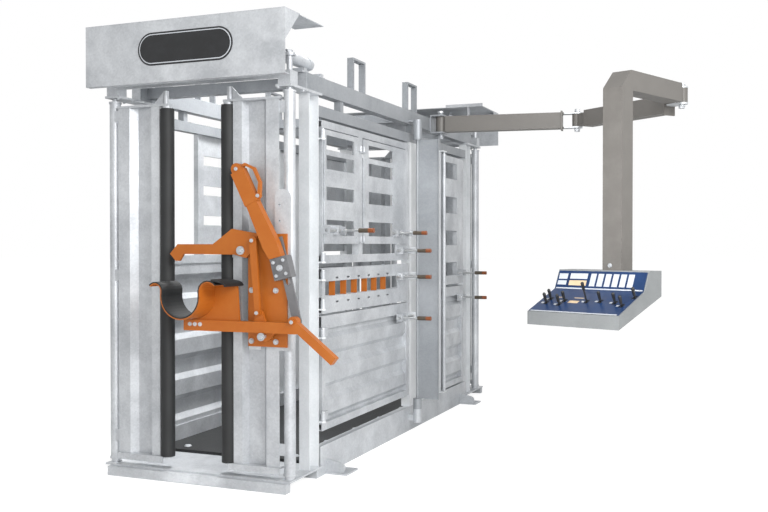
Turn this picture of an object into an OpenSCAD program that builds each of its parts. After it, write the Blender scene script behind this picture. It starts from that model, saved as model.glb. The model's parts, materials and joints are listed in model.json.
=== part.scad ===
// Hydraulic cattle crush: a galvanised box of gates with a head gate, a head
// restraint in orange enamel and a control console on a three-part boom.
// X runs across the crush, Y from the head gate to the tail gate, Z up.
// The origin is on the ground, in the middle of the four anchor bolt holes.

/* [Overall] */
// Length over the front and rear threshold tubes
crush_len = 3500; // [3460:10:3700]
// Width over the outer faces of the side frames
crush_w = 1100; // [1080:10:1180]
// Height of the top face of the side rails
rail_top = 2140; // [2130:5:2170]
// Height of the front fascia above the side rails
fascia_rise = 260; // [255:5:310]

/* [Base frame] */
// Height of the side rails of the base
sill_rail_h = 160; // [140:5:180]
// Width of the side rails of the base
sill_rail_w = 42; // [40:1:60]
// Outer size of the square threshold tubes
threshold = 50; // [40:5:60]
// Thickness of the sill plates under the posts
sill_t = 10; // [8:1:14]
// Thickness of the steel floor plate
floor_t = 6; // [4:1:8]
// Thickness of the rubber mat
mat_t = 18; // [12:1:25]
// Diameter of the mat bolt heads
mat_bolt_d = 44; // [30:2:50]
// Distance between mat bolts along the floor
mat_bolt_step = 410; // [380:10:460]

/* [Anchors] */
// Distance between anchor holes across the crush
anchor_x = 1240; // [1220:5:1280]
// Distance between anchor holes along the crush
anchor_y = 2420; // [2300:10:2500]
// Diameter of the anchor holes
anchor_d = 18; // [12:1:22]
// Thickness of the anchor foot plates
foot_t = 10; // [8:1:16]

/* [Posts and rails] */
// Depth of the corner posts along the crush
post_d = 114; // [100:2:130]
// Width of posts and top rails across the crush
post_w = 60; // [50:2:66]
// Wall of the folded posts
post_wall = 6; // [4:1:8]
// Height of the top rails
rail_h = 90; // [70:5:100]
// Wall of the hollow sections
wall = 5; // [3:1:6]
// Height of the underside of the header beams over the gates
header_z = 1930; // [1925:5:1950]
// Thickness of the top bearing plates
cap_t = 12; // [8:1:16]
// Width of the flat bar of the lifting loops
loop_w = 40; // [30:5:60]
// Thickness of the flat bar of the lifting loops
loop_t = 12; // [8:1:16]
// Length of the lifting loops along the rails
loop_len = 178; // [150:2:240]
// Height of the lifting loops above the rails
loop_h = 190; // [150:5:220]

/* [Head and tail gates] */
// Outer radius of the pivot pipes
pipe_r = 30; // [26:1:34]
// Radius of the pivot pins
pin_r = 15; // [12:1:18]
// Clear gap between the rubber edges of the leaves
neck_gap = 300; // [260:10:340]
// Outer radius of the rubber edge tubes
rubber_r = 37.5; // [32:0.5:42]
// Radius of the steel tube inside the rubber
edge_r = 25; // [20:1:28]
// Height of the lower edge of the leaves
leaf_z0 = 120; // [115:1:135]
// Height of the upper edge of the leaves
leaf_z1 = 1980; // [1970:1:1985]
// Sheet thickness of the leaves
leaf_t = 5; // [3:1:6]
// Depth of the pressed channel in the leaves
leaf_press = 38; // [20:1:40]
// Length of the crank arms on top of the pivot pipes
crank_r = 110; // [100:1:115]

/* [Fascia] */
// Thickness of the fascia sheet
fascia_t = 4; // [3:1:6]
// Width of the fascia beyond each side of the base
fascia_over = 47; // [30:1:60]
// Height of the fascia
fascia_h = 320; // [300:5:330]
// Depth of the top flange of the fascia
flange_d = 160; // [140:5:180]
// Height of the roof plate over the tail gate above the side rails
roof_rise = 205; // [195:5:230]
// Depth of the roof plate over the tail gate
roof_d = 495; // [440:5:510]

/* [Side gates] */
// Thickness of the side gates
gate_t = 40; // [36:1:44]
// Length of the front side gates
gate_len = 1320; // [1310:1:1325]
// Height of the split between the window gate and the comb gate
split_hi = 1143; // [1130:1:1150]
// Height of the top of the window gate
gate_top = 1915; // [1900:1:1918]
// Height of the lower edge of the comb gate
comb_z0 = 872; // [868:1:880]
// Height of the top of the kick gate
kick_z1 = 860; // [850:1:862]
// Height of the lower edge of the kick gate
kick_z0 = 240; // [220:5:260]
// Radius of the hinge pins of the side gates
hinge_pin_r = 8; // [6:1:10]
// Width of the wing panel outside the middle post
wing_w = 150; // [100:5:180]
// Thickness of the window leaf sheets
window_t = 6; // [4:1:7]
// Number of orange lock tabs in the comb gate
tab_count = 6; // [4:1:7]
// Distance between lock tabs
tab_step = 150; // [130:5:155]

/* [Latches] */
// Radius of the latch bolts
bolt_r = 9; // [7:0.5:10]
// Travel of the latch bolts
bolt_travel = 40; // [38:1:44]
// Reach of the latch handles out from the gate
handle_reach = 225; // [180:5:240]
// Radius of the latch grips
grip_r = 13; // [11:1:16]

/* [Head restraint] */
// Thickness of the orange mounting plate
plate_t = 10; // [8:1:12]
// Thickness of the nose bar and the arm lugs
lug_t = 16; // [12:1:18]
// Height of the section of the chin arm
arm_h = 55; // [45:1:60]
// Depth of the section of the chin arm
arm_d = 40; // [30:1:44]
// Radius of the restraint pivot bolts
pivot_r = 10; // [8:0.5:12]
// Depth of the chin scoop
scoop_d = 178; // [150:2:190]
// Thickness of the rubber lining of the scoop
lining_t = 7; // [5:1:9]

/* [Boom] */
// Width of the boom sections
boom_w = 80; // [70:2:96]
// Height of the boom sections
boom_h = 110; // [90:2:116]
// Length of the first arm between its pins
arm1_len = 953; // [900:1:1000]
// Length of the second arm between its pins
arm2_len = 939; // [880:1:980]
// Distance from the last pin to the column
arm3_len = 740; // [700:1:760]
// Size of the square column
column_w = 116; // [100:2:120]

/* [Console] */
// Width of the console
console_w = 556; // [550:1:600]
// Thickness of the console sheet
console_t = 3; // [2:0.5:4]
// Length of a console lever above the panel
lever_len = 62; // [50:1:75]

/* [Hidden] */
$fn = 48;

// Colours as the photograph shows them
zinc = "#C9CCCE";
enamel = "#C0662A";
rubber = "#303232";
boom_grey = "#8F8D89";
panel_blue = "#1A4A8A";

// Gap that is left where members of a frame meet, and the running fit of pins
g = 0.25;
fit = 0.3;

// Stations along and across the crush
half_w = crush_w / 2;
front_y = -crush_len / 2;
rear_y = crush_len / 2;
pipe_x = half_w - 15;
front_pipe_y = front_y + 80;
rear_pipe_y = rear_y - 155;
post_off = 188;
post_in = half_w - post_w;
front_post_y1 = front_pipe_y + post_off + post_d;
rear_post_y0 = rear_pipe_y - post_off - post_d;
sill_top = threshold + sill_t;
floor_top = threshold + floor_t;
fascia_top = rail_top + fascia_rise;
rail_z0 = rail_top - rail_h;
cap_z0 = rail_z0 - cap_t;

// Front side gates
hinge_x = half_w + 16;
hinge_y = front_post_y1 + 20;
gate_y0 = hinge_y + 18;
gate_y1 = gate_y0 + gate_len;
gate_x0 = half_w - gate_t;
mid_y = gate_y1 + 24;
mid_d = 120;
rod_y = mid_y + 681;
rear_gate_y0 = rod_y + 18;
rear_gate_y1 = rear_post_y0 - 80;
comb_z1 = split_hi - 25;
stile = 40;
knuckle_r = 14;
keeper_x = half_w + 25;

// Head restraint points in the plane across the crush, as [x, z]
chin_pivot = [436.6, 786.6];
link_low = [404, 904];
link_top = [376.5, 1266];
nose_pivot = [301.5, 1216];
strut_pin = [607, 865];
clamp_at = [538.5, 1130];
lever_top = [292, 1626];
leaf_face = front_pipe_y - 32;
bracket_t = 8;
plate_y = leaf_face - bracket_t;
plate_face = plate_y - plate_t;
strut_y = plate_face - 4;
strut_t = 10;
lug_y = strut_y - strut_t - 4;
link_y = lug_y - lug_t - 2;
link_t = 14;
arm_y = lug_y - 4;

// Boom pins and column, seen from above
arm1_deg = 7.7;
arm2_deg = -38.6;
arm3_deg = -112;
boom_z0 = rail_top - 98;
pin_0 = [half_w + 60, mid_y + 471];
function step(p, len, deg) = p + len * [cos(deg), sin(deg)];
pin_1 = step(pin_0, arm1_len, arm1_deg);
pin_2 = step(pin_1, arm2_len, arm2_deg);
column = step(pin_2, arm3_len, arm3_deg);
console_deg = arm3_deg + 90;
arm3_z0 = boom_z0 + 42;
boom_pin_r = 15;
hub_r = 34;
fork_t = 10;

// Side profile of the console as [depth, height], and its levers as [x, depth, length]
console_left = 332;
console_profile = [[-370, 815], [-370, 886], [-110, 1000], [-62, 1106], [70, 1106], [70, 969]];
panel_deg = atan2(1000 - 886, 370 - 110);
panel_t = 2.5;
levers = [[-274, -275, 1], [-272, -233, 1], [-185, -285, 1], [-175, -247, 1], [-39, -246, 1.9],
    [38, -236, 1], [128, -243, 1], [183, -270, 1], [206, -180, 1]];
lever_pivot = 22;

module block(lo, hi) {
  translate(lo) cube(hi - lo);
}

// Hollow rectangular section that runs along axis 0, 1 or 2
module tube(lo, hi, t, run) {
  inset = [for (i = [0:2]) i == run ? -1 : t];
  difference() {
    block(lo, hi);
    block(lo + inset, hi - inset);
  }
}

module rod_z(x, y, z0, z1, r) {
  translate([x, y, z0]) cylinder(r = r, h = z1 - z0);
}

module ring_z(x, y, z0, z1, r, bore) {
  difference() {
    rod_z(x, y, z0, z1, r);
    rod_z(x, y, z0 - 1, z1 + 1, bore);
  }
}

// Cylinder along Y from depth y0 to y1
module rod_y(x, z, y0, y1, r) {
  translate([x, y1, z]) rotate([90, 0, 0]) cylinder(r = r, h = y1 - y0);
}

module rod_x(y, z, x0, x1, r) {
  translate([x0, y, z]) rotate([0, 90, 0]) cylinder(r = r, h = x1 - x0);
}

// Outline in [x, z] that is made t thick from depth y0
module plate_xz(outline, y0, t) {
  translate([0, y0 + t, 0]) rotate([90, 0, 0]) linear_extrude(t) polygon(outline);
}

module both_sides() {
  children();
  mirror([1, 0, 0]) children();
}

// Head end as it stands, and the same frame turned for the tail end
module at_front() {
  translate([0, front_pipe_y, 0]) children();
}

module at_rear() {
  translate([0, rear_pipe_y, 0]) mirror([0, 1, 0]) children();
}

// Base frame

module sill_plate(out) {
  difference() {
    block([-half_w - 15, 25 - out, threshold + g], [half_w + 15, post_off + post_d + 18, sill_top]);
    for (s = [-1, 1]) rod_z(s * pipe_x, 0, 0, sill_top + 1, pin_r - 5);
  }
}

module threshold_pair(out) {
  tube([-half_w + 20, -out, 0], [half_w, threshold - out, threshold], wall, 0);
  y = post_off + post_d + 18 - threshold;
  tube([-half_w, y, 0], [half_w, y + threshold, threshold], wall, 0);
}

module anchor_foot() {
  x0 = half_w + g;
  ear = 70;
  difference() {
    block([x0, -75, 0], [anchor_x / 2 + 55, 75, foot_t]);
    rod_z(anchor_x / 2, 0, -1, foot_t + 1, anchor_d / 2);
  }
  translate([x0, -58, foot_t + g]) rotate([90, 0, 0]) linear_extrude(10) hull() {
    square([8, ear]);
    translate([anchor_x / 2 - half_w + 15, ear / 2 - 8]) circle(r = ear / 2 - 8, $fn = 32);
  }
}

module base_frame() color(zinc) {
  y0 = front_post_y1 + 18 + g;
  y1 = rear_post_y0 - 18 - g;
  both_sides() tube([half_w - sill_rail_w, y0, 0], [half_w, y1, sill_rail_h], wall + 1, 1);
  for (i = [1:5]) {
    y = y0 + (y1 - y0) * i / 6;
    tube([-half_w + sill_rail_w + g, y - 25, 4], [half_w - sill_rail_w - g, y + 25, threshold], wall, 0);
  }
  block([-half_w + sill_rail_w + g, y0, threshold + g], [half_w - sill_rail_w - g, y1, floor_top]);
  at_front() {
    threshold_pair(80);
    sill_plate(80);
  }
  at_rear() {
    threshold_pair(155);
    sill_plate(155);
  }
  for (sx = [0, 1], sy = [-1, 1]) mirror([sx, 0, 0]) translate([0, sy * anchor_y / 2, 0]) anchor_foot();
  mat_bolts();
  wing_foot();
}

mat_y0 = front_post_y1 + 28;
mat_y1 = rear_post_y0 - 30;

module mat_bolts() {
  count = floor((mat_y1 - mat_y0 - 120) / mat_bolt_step);
  for (s = [-1, 1], i = [0:count]) translate([s * 350, mat_y0 + 85 + i * mat_bolt_step, floor_top + g]) {
    cylinder(r = 6, h = mat_t);
    translate([0, 0, mat_t]) cylinder(r1 = mat_bolt_d / 2, r2 = mat_bolt_d / 2 - 5, h = 7);
  }
}

module floor_mat() color(rubber) difference() {
  x = half_w - sill_rail_w - 12;
  block([-x, mat_y0, floor_top], [x, mat_y1, floor_top + mat_t]);
  count = floor((mat_y1 - mat_y0 - 120) / mat_bolt_step);
  for (s = [-1, 1], i = [0:count])
    rod_z(s * 350, mat_y0 + 85 + i * mat_bolt_step, floor_top - 1, floor_top + mat_t + 1, 7);
}

// Posts and rails

// Folded channel that is open to the outside of the crush
module corner_post() {
  z1 = cap_z0 - g;
  difference() {
    block([post_in, post_off, sill_top + g], [half_w, post_off + post_d, z1]);
    block([post_in + post_wall, post_off + post_wall, sill_top - 1],
      [half_w + 1, post_off + post_d - post_wall, z1 + 1]);
  }
}

module lug(z, t) {
  difference() {
    hull() {
      block([half_w - 14, front_post_y1 + g, z], [half_w + 20, front_post_y1 + 4, z + t]);
      rod_z(hinge_x, hinge_y, z, z + t, knuckle_r + 2);
    }
    block([half_w - 20, hinge_y - 4, z - 1], [half_w + 1.5, hinge_y + 30, z + t + 1]);
  }
}

// Lug plate with an upright pin for one gate knuckle that stands on it
module pintle(z, len) {
  lug(z - 8.3, 8);
  rod_z(hinge_x, hinge_y, z - 1, z + len, hinge_pin_r);
}

// Knuckle heights of the front side gates
window_knuckles = [split_hi + 12, gate_top - 100];
comb_knuckles = [comb_z0 + 30, comb_z1 - 58];
kick_knuckles = [kick_z0 + 60, kick_z1 - 110];
knuckle_len = 44;

module keeper(y, z) {
  difference() {
    block([half_w + g, y, z - 24], [keeper_x + 22, y + 10, z + 24]);
    rod_y(keeper_x, z, y - 1, y + 11, bolt_r + 1);
  }
}

// Keeper on an arm that reaches forward from the rear post
module rear_keeper(z) {
  y = rear_gate_y1 + 22;
  keeper(y, z);
  block([half_w + g, y + 10 + g, z - 24], [half_w + 8, rear_post_y0 + 40, z + 24]);
}

window_gate_latch_z = 1206;
comb_latch_z = 1038;
kick_latch_z = 771;
rear_upper_latch_z = 1027;
rear_lower_latch_z = 838;

module mid_post() {
  tube([post_in, mid_y, sill_rail_h + g], [half_w, mid_y + mid_d, header_z - g], wall, 2);
  y = mid_y + mid_d + g;
  y1 = rod_y - 75;
  block([half_w - 14, y, sill_rail_h + g], [half_w - 9, y1 - g, header_z - g]);
  tube([post_in, y1, sill_rail_h + g], [half_w, rod_y - 16, header_z - g], wall, 2);
}

// Bracket pair that carries the hinge rod of the rear side gates
module rear_hinge_rod() {
  for (z = [rod_z0 - 8.3, header_z - 8 - g])
    block([half_w + g, rod_y - 70, z], [hinge_x + 16, rod_y + 14, z + 8]);
  rod_z(hinge_x, rod_y, rod_z0 - 1, header_z - 8, hinge_pin_r - 1);
}

rod_z0 = sill_rail_h + 10;

wing_x = half_w + 58;
wing_y = mid_y - 4;
wing_z0 = 220;
wing_z1 = 1940;

wing_r = 28;
wing_pin_r = 8;

// Bush on the side rail that the lower knuckle of the wing panel stands on
module wing_foot() {
  z1 = wing_z0 - 70 - fit;
  ring_z(wing_x, wing_y, z1 - 90, z1, wing_r + 1, wing_pin_r + fit);
  block([half_w + g, wing_y - 17, z1 - 80], [wing_x - wing_r + 8, wing_y + 17, z1 - 40]);
}

module side_posts() color(zinc) {
  both_sides() {
    at_front() corner_post();
    at_rear() corner_post();
    mid_post();
  }
  for (z = concat(window_knuckles, comb_knuckles, kick_knuckles)) pintle(z, knuckle_len + 6);
  for (z = [window_gate_latch_z, comb_latch_z, kick_latch_z]) keeper(mid_y, z);
  for (z = [rear_upper_latch_z, rear_lower_latch_z]) rear_keeper(z);
  rear_hinge_rod();
}

module lifting_loop(y) {
  x0 = half_w - post_w / 2 - loop_w / 2;
  x1 = x0 + loop_w;
  z0 = rail_top + g;
  z1 = rail_top + loop_h;
  half = loop_len / 2;
  block([x0, y - half, z0], [x1, y - half + loop_t, z1 - loop_t]);
  block([x0, y + half - loop_t, z0], [x1, y + half, z1 - loop_t]);
  block([x0, y - half, z1 - loop_t + g], [x1, y + half, z1]);
}

loop_y = [front_y + 951, mid_y + 80];

module top_rails() color(zinc) {
  y0 = front_pipe_y + post_off - 20;
  y1 = rear_pipe_y - post_off + 20;
  both_sides() {
    tube([post_in, y0, rail_z0 + g], [half_w, y1, rail_top], wall, 1);
    tube([post_in + 6, front_post_y1 + g, header_z], [half_w - 6, rear_post_y0 - g, header_z + 60], wall, 1);
    for (y = loop_y) lifting_loop(y);
    for (y = [front_post_y1 + 300, mid_y + 60, rod_y - 45])
      block([post_in + 10, y, header_z + 60 + g], [half_w - 10, y + 40, rail_z0]);
  }
  for (y = [y0 + 60, mid_y + 30, y1 - 120])
    tube([-post_in + g, y, rail_z0 + 20], [post_in - g, y + 60, rail_top - 10], wall, 0);
  boom_bracket();
  wing_mounts();
}

// Fork on the top rail that holds the first boom pin
module boom_bracket() {
  for (z = [boom_z0 - fork_t - fit, boom_z0 + boom_h + fit])
    block([half_w + g, pin_0[1] - 60, z], [pin_0[0] + 36, pin_0[1] + 60, z + fork_t]);
  block([half_w + g, pin_0[1] - 60, boom_z0 - fit + g], [half_w + 8, pin_0[1] + 60, boom_z0 + boom_h + fit - g]);
  rod_z(pin_0[0], pin_0[1], boom_z0 - fork_t - 20, boom_z0 + boom_h + fork_t + 16, boom_pin_r);
}

module wing_mounts() {
  z = wing_z1 + 8;
  difference() {
    union() {
      rod_z(wing_x, wing_y, z + fit, rail_z0 + 25, wing_r + 1);
      block([half_w + g, wing_y - 17, rail_z0 + 10], [wing_x, wing_y + 17, rail_z0 + 24]);
    }
    rod_z(wing_x, wing_y, z - 1, rail_z0 + 5, wing_pin_r + fit);
  }
}

// Head and tail end frames

shaft_r = pin_r;
crank_z = rail_top + 56;
crank_t = 14;
beam_z0 = rail_z0 + 30;
beam_h = 80;

// Plate over post and pipe, and the pins and washers that carry the pipe
module bearing_set() {
  difference() {
    block([pipe_x - 57, -45, cap_z0], [pipe_x + 33, post_off + post_d + 10, cap_z0 + cap_t - g]);
    rod_z(pipe_x, 0, cap_z0 - 1, cap_z0 + cap_t + 1, shaft_r + fit);
  }
  rod_z(pipe_x, 0, sill_top + g, sill_top + 72, pin_r);
  ring_z(pipe_x, 0, sill_top + g, pipe_z0 - fit, pipe_r - 4, pin_r - 1);
  difference() {
    block([pipe_x - 45, -40, cap_z0 + cap_t], [pipe_x + 25, 40, beam_z0 + 40]);
    rod_z(pipe_x, 0, cap_z0, beam_z0 + 60, shaft_r + fit);
  }
}

pipe_z0 = sill_top + 18;
pipe_z1 = cap_z0 - 16;

// Cross beam over the gate, open downwards
module end_beam(reach) {
  x = pipe_x - 45 - g;
  difference() {
    block([-x, -reach, beam_z0], [x, -reach + beam_h, beam_z0 + beam_h]);
    block([-x - 1, -reach + wall, beam_z0 - 1], [x + 1, -reach + beam_h - wall, beam_z0 + beam_h - wall]);
  }
}

module front_header() color(zinc) at_front() {
  both_sides() bearing_set();
  end_beam(112);
  for (s = [-1, 1]) for (x = [150, 380]) block([s * x - 4, fascia_t - 165 + g, beam_z0 + beam_h + g],
    [s * x + 4, -50, fascia_top - fascia_t - g]);
}

module rear_header() color(zinc) at_rear() {
  both_sides() bearing_set();
  end_beam(112);
  for (s = [-1, 1]) block([s * 300 - 4, -110, beam_z0 + beam_h + g], [s * 300 + 4, -40, roof_z - g]);
  tail_roof();
}

roof_z = rail_top + roof_rise;

// Roof plate with its skirt, end gussets, two legs on the rails and a stiffening bar
module tail_roof() {
  x = half_w + 110;
  y = rear_pipe_y - rear_y - 105;
  y1 = y + roof_d;
  block([-x, y, roof_z], [x, y1, roof_z + 5]);
  block([-x, y, rail_top - 60], [x, y + fascia_t, roof_z - g]);
  for (s = [-1, 1]) {
    translate([s * (x - 2) + 2, y + fascia_t + g, roof_z - g]) rotate([90, 0, -90])
      linear_extrude(4) polygon([[0, 0], [-150, 0], [0, -150]]);
    block([s * (half_w - 8) - 4, y1 - 45, rail_top + g], [s * (half_w - 8) + 4, y1 - 5, roof_z - g]);
  }
  block([357, y1 - 20, roof_z + 5 + g], [x, y1, roof_z + 25]);
}

// Fascia sheet over the head gate, with its top flange, end gussets and canopy
module front_fascia() color(zinc) {
  x = half_w + fascia_over;
  y = front_y - 85;
  z0 = fascia_top - fascia_h;
  flange_z = fascia_top - fascia_t;
  block([-x, y, z0], [x, y + fascia_t, flange_z - g]);
  block([-x, y, flange_z], [x, y + flange_d, fascia_top]);
  block([-x, y + fascia_t + g, z0], [x, y + 40, z0 + fascia_t]);
  for (s = [-1, 1]) translate([s * (x - 2) + 2, y + fascia_t + g, flange_z - g]) rotate([90, 0, -90])
    linear_extrude(4) polygon([[0, 0], [-flange_d + 10, 0], [0, -flange_d + 10]]);
  block([x - 170, y + flange_d + g, flange_z - 4], [x, y + 430, flange_z]);
}

// Leaves

leaf_in = pipe_x - neck_gap / 2;
edge_x = rubber_r - leaf_in;
edge_y = -15;

// Folded sheet from the edge tube to the pipe, seen from above
function leaf_line() = [[edge_x + rubber_r + g, -32], [edge_x + 90, -32], [edge_x + 110, leaf_press - 32],
    [edge_x + 200, leaf_press - 32], [edge_x + 230, -32], [-pipe_r - 14, -32]];

module leaf_body() {
  line = leaf_line();
  n = len(line);
  back = [for (i = [n - 1:-1:0]) line[i] + [0, leaf_t]];
  difference() {
    union() {
      ring_z(0, 0, pipe_z0, pipe_z1, pipe_r, pipe_r - 5);
      ring_z(0, 0, pipe_z0, pipe_z0 + 50, pipe_r - 4, pin_r + fit);
      rod_z(0, 0, pipe_z1 - 40, pipe_z1, pipe_r - 4);
      for (z = [pipe_z0, pipe_z1 - 10]) ring_z(0, 0, z, z + 10, pipe_r + 4, pipe_r - 1);
      rod_z(0, 0, pipe_z1 - 20, crank_z + crank_t, shaft_r);
      for (z = [leaf_z0 + 60, (leaf_z0 + leaf_z1) / 2, leaf_z1 - 70])
        block([-pipe_r - 30, -27 + g, z], [-8, -20, z + 60]);
    }
    rod_z(0, 0, pipe_z0 - 1, pipe_z0 + 60, pin_r + fit);
  }
  translate([0, 0, leaf_z0]) linear_extrude(leaf_z1 - leaf_z0) polygon(concat(line, back));
  ring_z(edge_x, edge_y, leaf_z0 - 8, leaf_z1, edge_r, edge_r - 4);
  // Top bar, guide pin and gusset
  block([edge_x - 20, -36, leaf_z1 + g], [-pipe_r - 6, 12, leaf_z1 + 12]);
  rod_z(edge_x + 8, -12, leaf_z1 + 12 + g, beam_z0 - 20, 14);
  translate([edge_x + 24 + g, -8, leaf_z1 + 12 + g]) rotate([90, 0, 0]) linear_extrude(8)
    polygon([[0, 0], [62, 0], [0, beam_z0 - leaf_z1 - 36]]);
  // Folded bottom rail with its rounded stop
  block([edge_x + 15, -45, leaf_z0 - 34], [-pipe_r - 10, -39, leaf_z0 - 8 - g]);
  block([edge_x + 15, -45, leaf_z0 - 8], [-pipe_r - 10, 10, leaf_z0 - g]);
}

crank_deg = 42.5;

module crank() {
  translate([0, 0, crank_z]) rotate([0, 0, 180 - crank_deg]) difference() {
    union() {
      cylinder(r = 30, h = crank_t);
      translate([0, -18, 0]) cube([crank_r, 36, crank_t]);
      translate([crank_r, 0, 0]) cylinder(r = 18, h = crank_t);
    }
    translate([0, 0, -1]) cylinder(r = shaft_r - 1, h = crank_t + 2);
  }
  a = 180 - crank_deg;
  translate([crank_r * cos(a), crank_r * sin(a), crank_z + crank_t - 1]) cylinder(r = 10, h = 29);
}

module leaf() {
  leaf_body();
  crank();
}

module right_front() {
  at_front() translate([pipe_x, 0, 0]) children();
}

module left_front() {
  mirror([1, 0, 0]) right_front() children();
}

module right_rear() {
  at_rear() translate([pipe_x, 0, 0]) children();
}

module left_rear() {
  mirror([1, 0, 0]) right_rear() children();
}

module head_leaf_right() color(zinc) right_front() leaf();
module head_leaf_left() color(zinc) left_front() leaf();
module tail_leaf_right() color(zinc) right_rear() leaf();
module tail_leaf_left() color(zinc) left_rear() leaf();

module edge_rubber() {
  ring_z(edge_x, edge_y, leaf_z0, leaf_z1 - 14, rubber_r, edge_r + g);
}

module neck_rubber_right() color(rubber) right_front() edge_rubber();
module neck_rubber_left() color(rubber) left_front() edge_rubber();

// Gate cylinders: the yoke slides over the crank pin as the leaf swings

cyl_x = -crank_r * (1 + cos(crank_deg)) / 2;
cyl_y = crank_r * sin(crank_deg);
cyl_z = crank_z + crank_t + 16;
cyl_r = 32;
stroke = 2 * cyl_y + 12;

module barrel() {
  y0 = cyl_y + 66;
  y1 = y0 + stroke + 110;
  difference() {
    rod_y(cyl_x, cyl_z, y0, y1, cyl_r);
    rod_y(cyl_x, cyl_z, y0 - 1, y1 - 30, cyl_r - 8);
  }
  difference() {
    rod_y(cyl_x, cyl_z, y0 - 12 - g, y0 - g, cyl_r + 4);
    rod_y(cyl_x, cyl_z, y0 - 14, y0 + 1, 14 + fit);
  }
  // Foot brackets down to the side rail
  for (y = [y0 + 20, y1 - 50]) {
    block([cyl_x - 6, y, cyl_z - 60], [cyl_x + 6, y + 30, cyl_z - cyl_r - g]);
    block([cyl_x - 6, y, rail_top + 10 + g], [0, y + 30, cyl_z - 60 - g]);
    block([cyl_x - 20, y - 20, rail_top + g], [0, y + 50, rail_top + 10]);
  }
}

module rod() {
  slot = crank_r * (1 - cos(crank_deg)) / 2;
  difference() {
    union() {
      rod_y(cyl_x, cyl_z, cyl_y + 20, cyl_y + 66 + stroke + 40, 14);
      translate([cyl_x - slot - 28, cyl_y - 28, cyl_z - 8]) cube([2 * slot + 56, 56, 16]);
      rod_y(cyl_x, cyl_z, cyl_y + 66 + stroke + 40, cyl_y + 66 + stroke + 60, cyl_r - 8 - fit);
    }
    for (s = [-1, 1]) rod_z(cyl_x + s * slot, cyl_y, cyl_z - 9, cyl_z + 9, 14);
    block([cyl_x - slot, cyl_y - 14, cyl_z - 9], [cyl_x + slot, cyl_y + 14, cyl_z + 9]);
  }
}

module gate_cylinders() color(zinc) {
  right_front() barrel();
  left_front() barrel();
  right_rear() barrel();
  left_rear() barrel();
}

module rod_front_right() color("silver") right_front() rod();
module rod_front_left() color("silver") left_front() rod();
module rod_rear_right() color("silver") right_rear() rod();
module rod_rear_left() color("silver") left_rear() rod();

// Left side wall, fixed, with a neck access window behind the head gate

module left_wall() color(zinc) mirror([1, 0, 0]) {
  x0 = gate_x0;
  x1 = half_w - 8;
  y0 = front_post_y1 + g;
  y1 = mid_y - g;
  neck_y1 = y0 + 470;
  split = 1130;
  wall_panel(y0, y1, sill_rail_h + g, split);
  tube([x0, y0, split + g], [x1, y1, split + 50], wall, 1);
  tube([x0, neck_y1, split + 50 + g], [x1, neck_y1 + 60, header_z - g], wall, 2);
  block([x0 + 10, y0, header_z - 110], [x0 + 18, y0 + 110, header_z - g]);
  slats(neck_y1 + 60 + g, y1, split + 50 + g, header_z - g);
  y2 = rod_y - 16 + g;
  wall_panel(y2, rear_post_y0 - g, sill_rail_h + g, split);
  slats(y2, rear_post_y0 - g, split + g, header_z - g);
}

// Pressed sheet with level corrugations, as [x, z] points that are run along Y
module wall_panel(y0, y1, z0, z1) {
  x0 = gate_x0 + 4;
  n = 4;
  pitch = (z1 - z0) / n;
  out = [for (i = [0:n - 1]) for (p = [[0, 0.12], [24, 0.26], [24, 0.60], [0, 0.74]])
    [x0 + p[0], z0 + (i + p[1]) * pitch]];
  line = concat([[x0, z0]], out, [[x0, z1]]);
  back = [for (i = [len(line) - 1:-1:0]) line[i] + [5, 0]];
  translate([0, y1, 0]) rotate([90, 0, 0]) linear_extrude(y1 - y0) polygon(concat(line, back));
}

module slats(y0, y1, z0, z1) {
  n = 4;
  pitch = (z1 - z0) / n;
  for (i = [0:n - 1]) tube([gate_x0 + 4, y0, z0 + i * pitch + 60], [half_w - 16, y1, z0 + (i + 1) * pitch - g], 3, 1);
}

// Side gates

module gate_knuckle(z, len, strap = 60) {
  difference() {
    union() {
      rod_z(hinge_x, hinge_y, z, z + len, knuckle_r);
      block([half_w + g, hinge_y, z], [half_w + 9, gate_y0 + strap, z + len]);
    }
    rod_z(hinge_x, hinge_y, z - 1, z + len + 1, hinge_pin_r + fit);
  }
}

// Base plate with two lugs that guide a latch bolt round the depth y
module latch_guides(base, y, z) {
  block([base, y - guide_off - 8, z - 30], [base + 4, y + guide_off + 8, z + 30]);
  for (s = [-1, 1]) difference() {
    block([base + 4 + g, y + s * guide_off - 6, z - 22], [latch_x + 16, y + s * guide_off + 6, z + 22]);
    rod_y(latch_x, z, y + s * guide_off - 8, y + s * guide_off + 8, bolt_r + fit);
  }
}

latch_x = keeper_x;
guide_off = bolt_travel / 2 + 26;
latch_y = gate_y1 - 165;
rear_latch_y = rear_gate_y1 - 100;
side_base = half_w + g;

centre_y0 = gate_y0 + 490;
centre_y1 = centre_y0 + 60;
leaf_front_y = gate_y0 + 20;
leaf_rear_y = gate_y1 - 56;
window_z = [[1295, 1380], [1487, 1560], [1655, 1730], [1760, 1838]];
window_leaf_z0 = split_hi + 107;
window_leaf_z1 = gate_top - 48;
window_x = half_w + 2;
window_front_latch = [gate_y0 + 170, 1323];
window_rear_latch = [gate_y1 - 245, 1319];
leaf_knuckles = [window_leaf_z0 + 12, gate_top - 125];
leaf_hinge_x = half_w + 12;
leaf_pin_r = 5;

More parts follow.
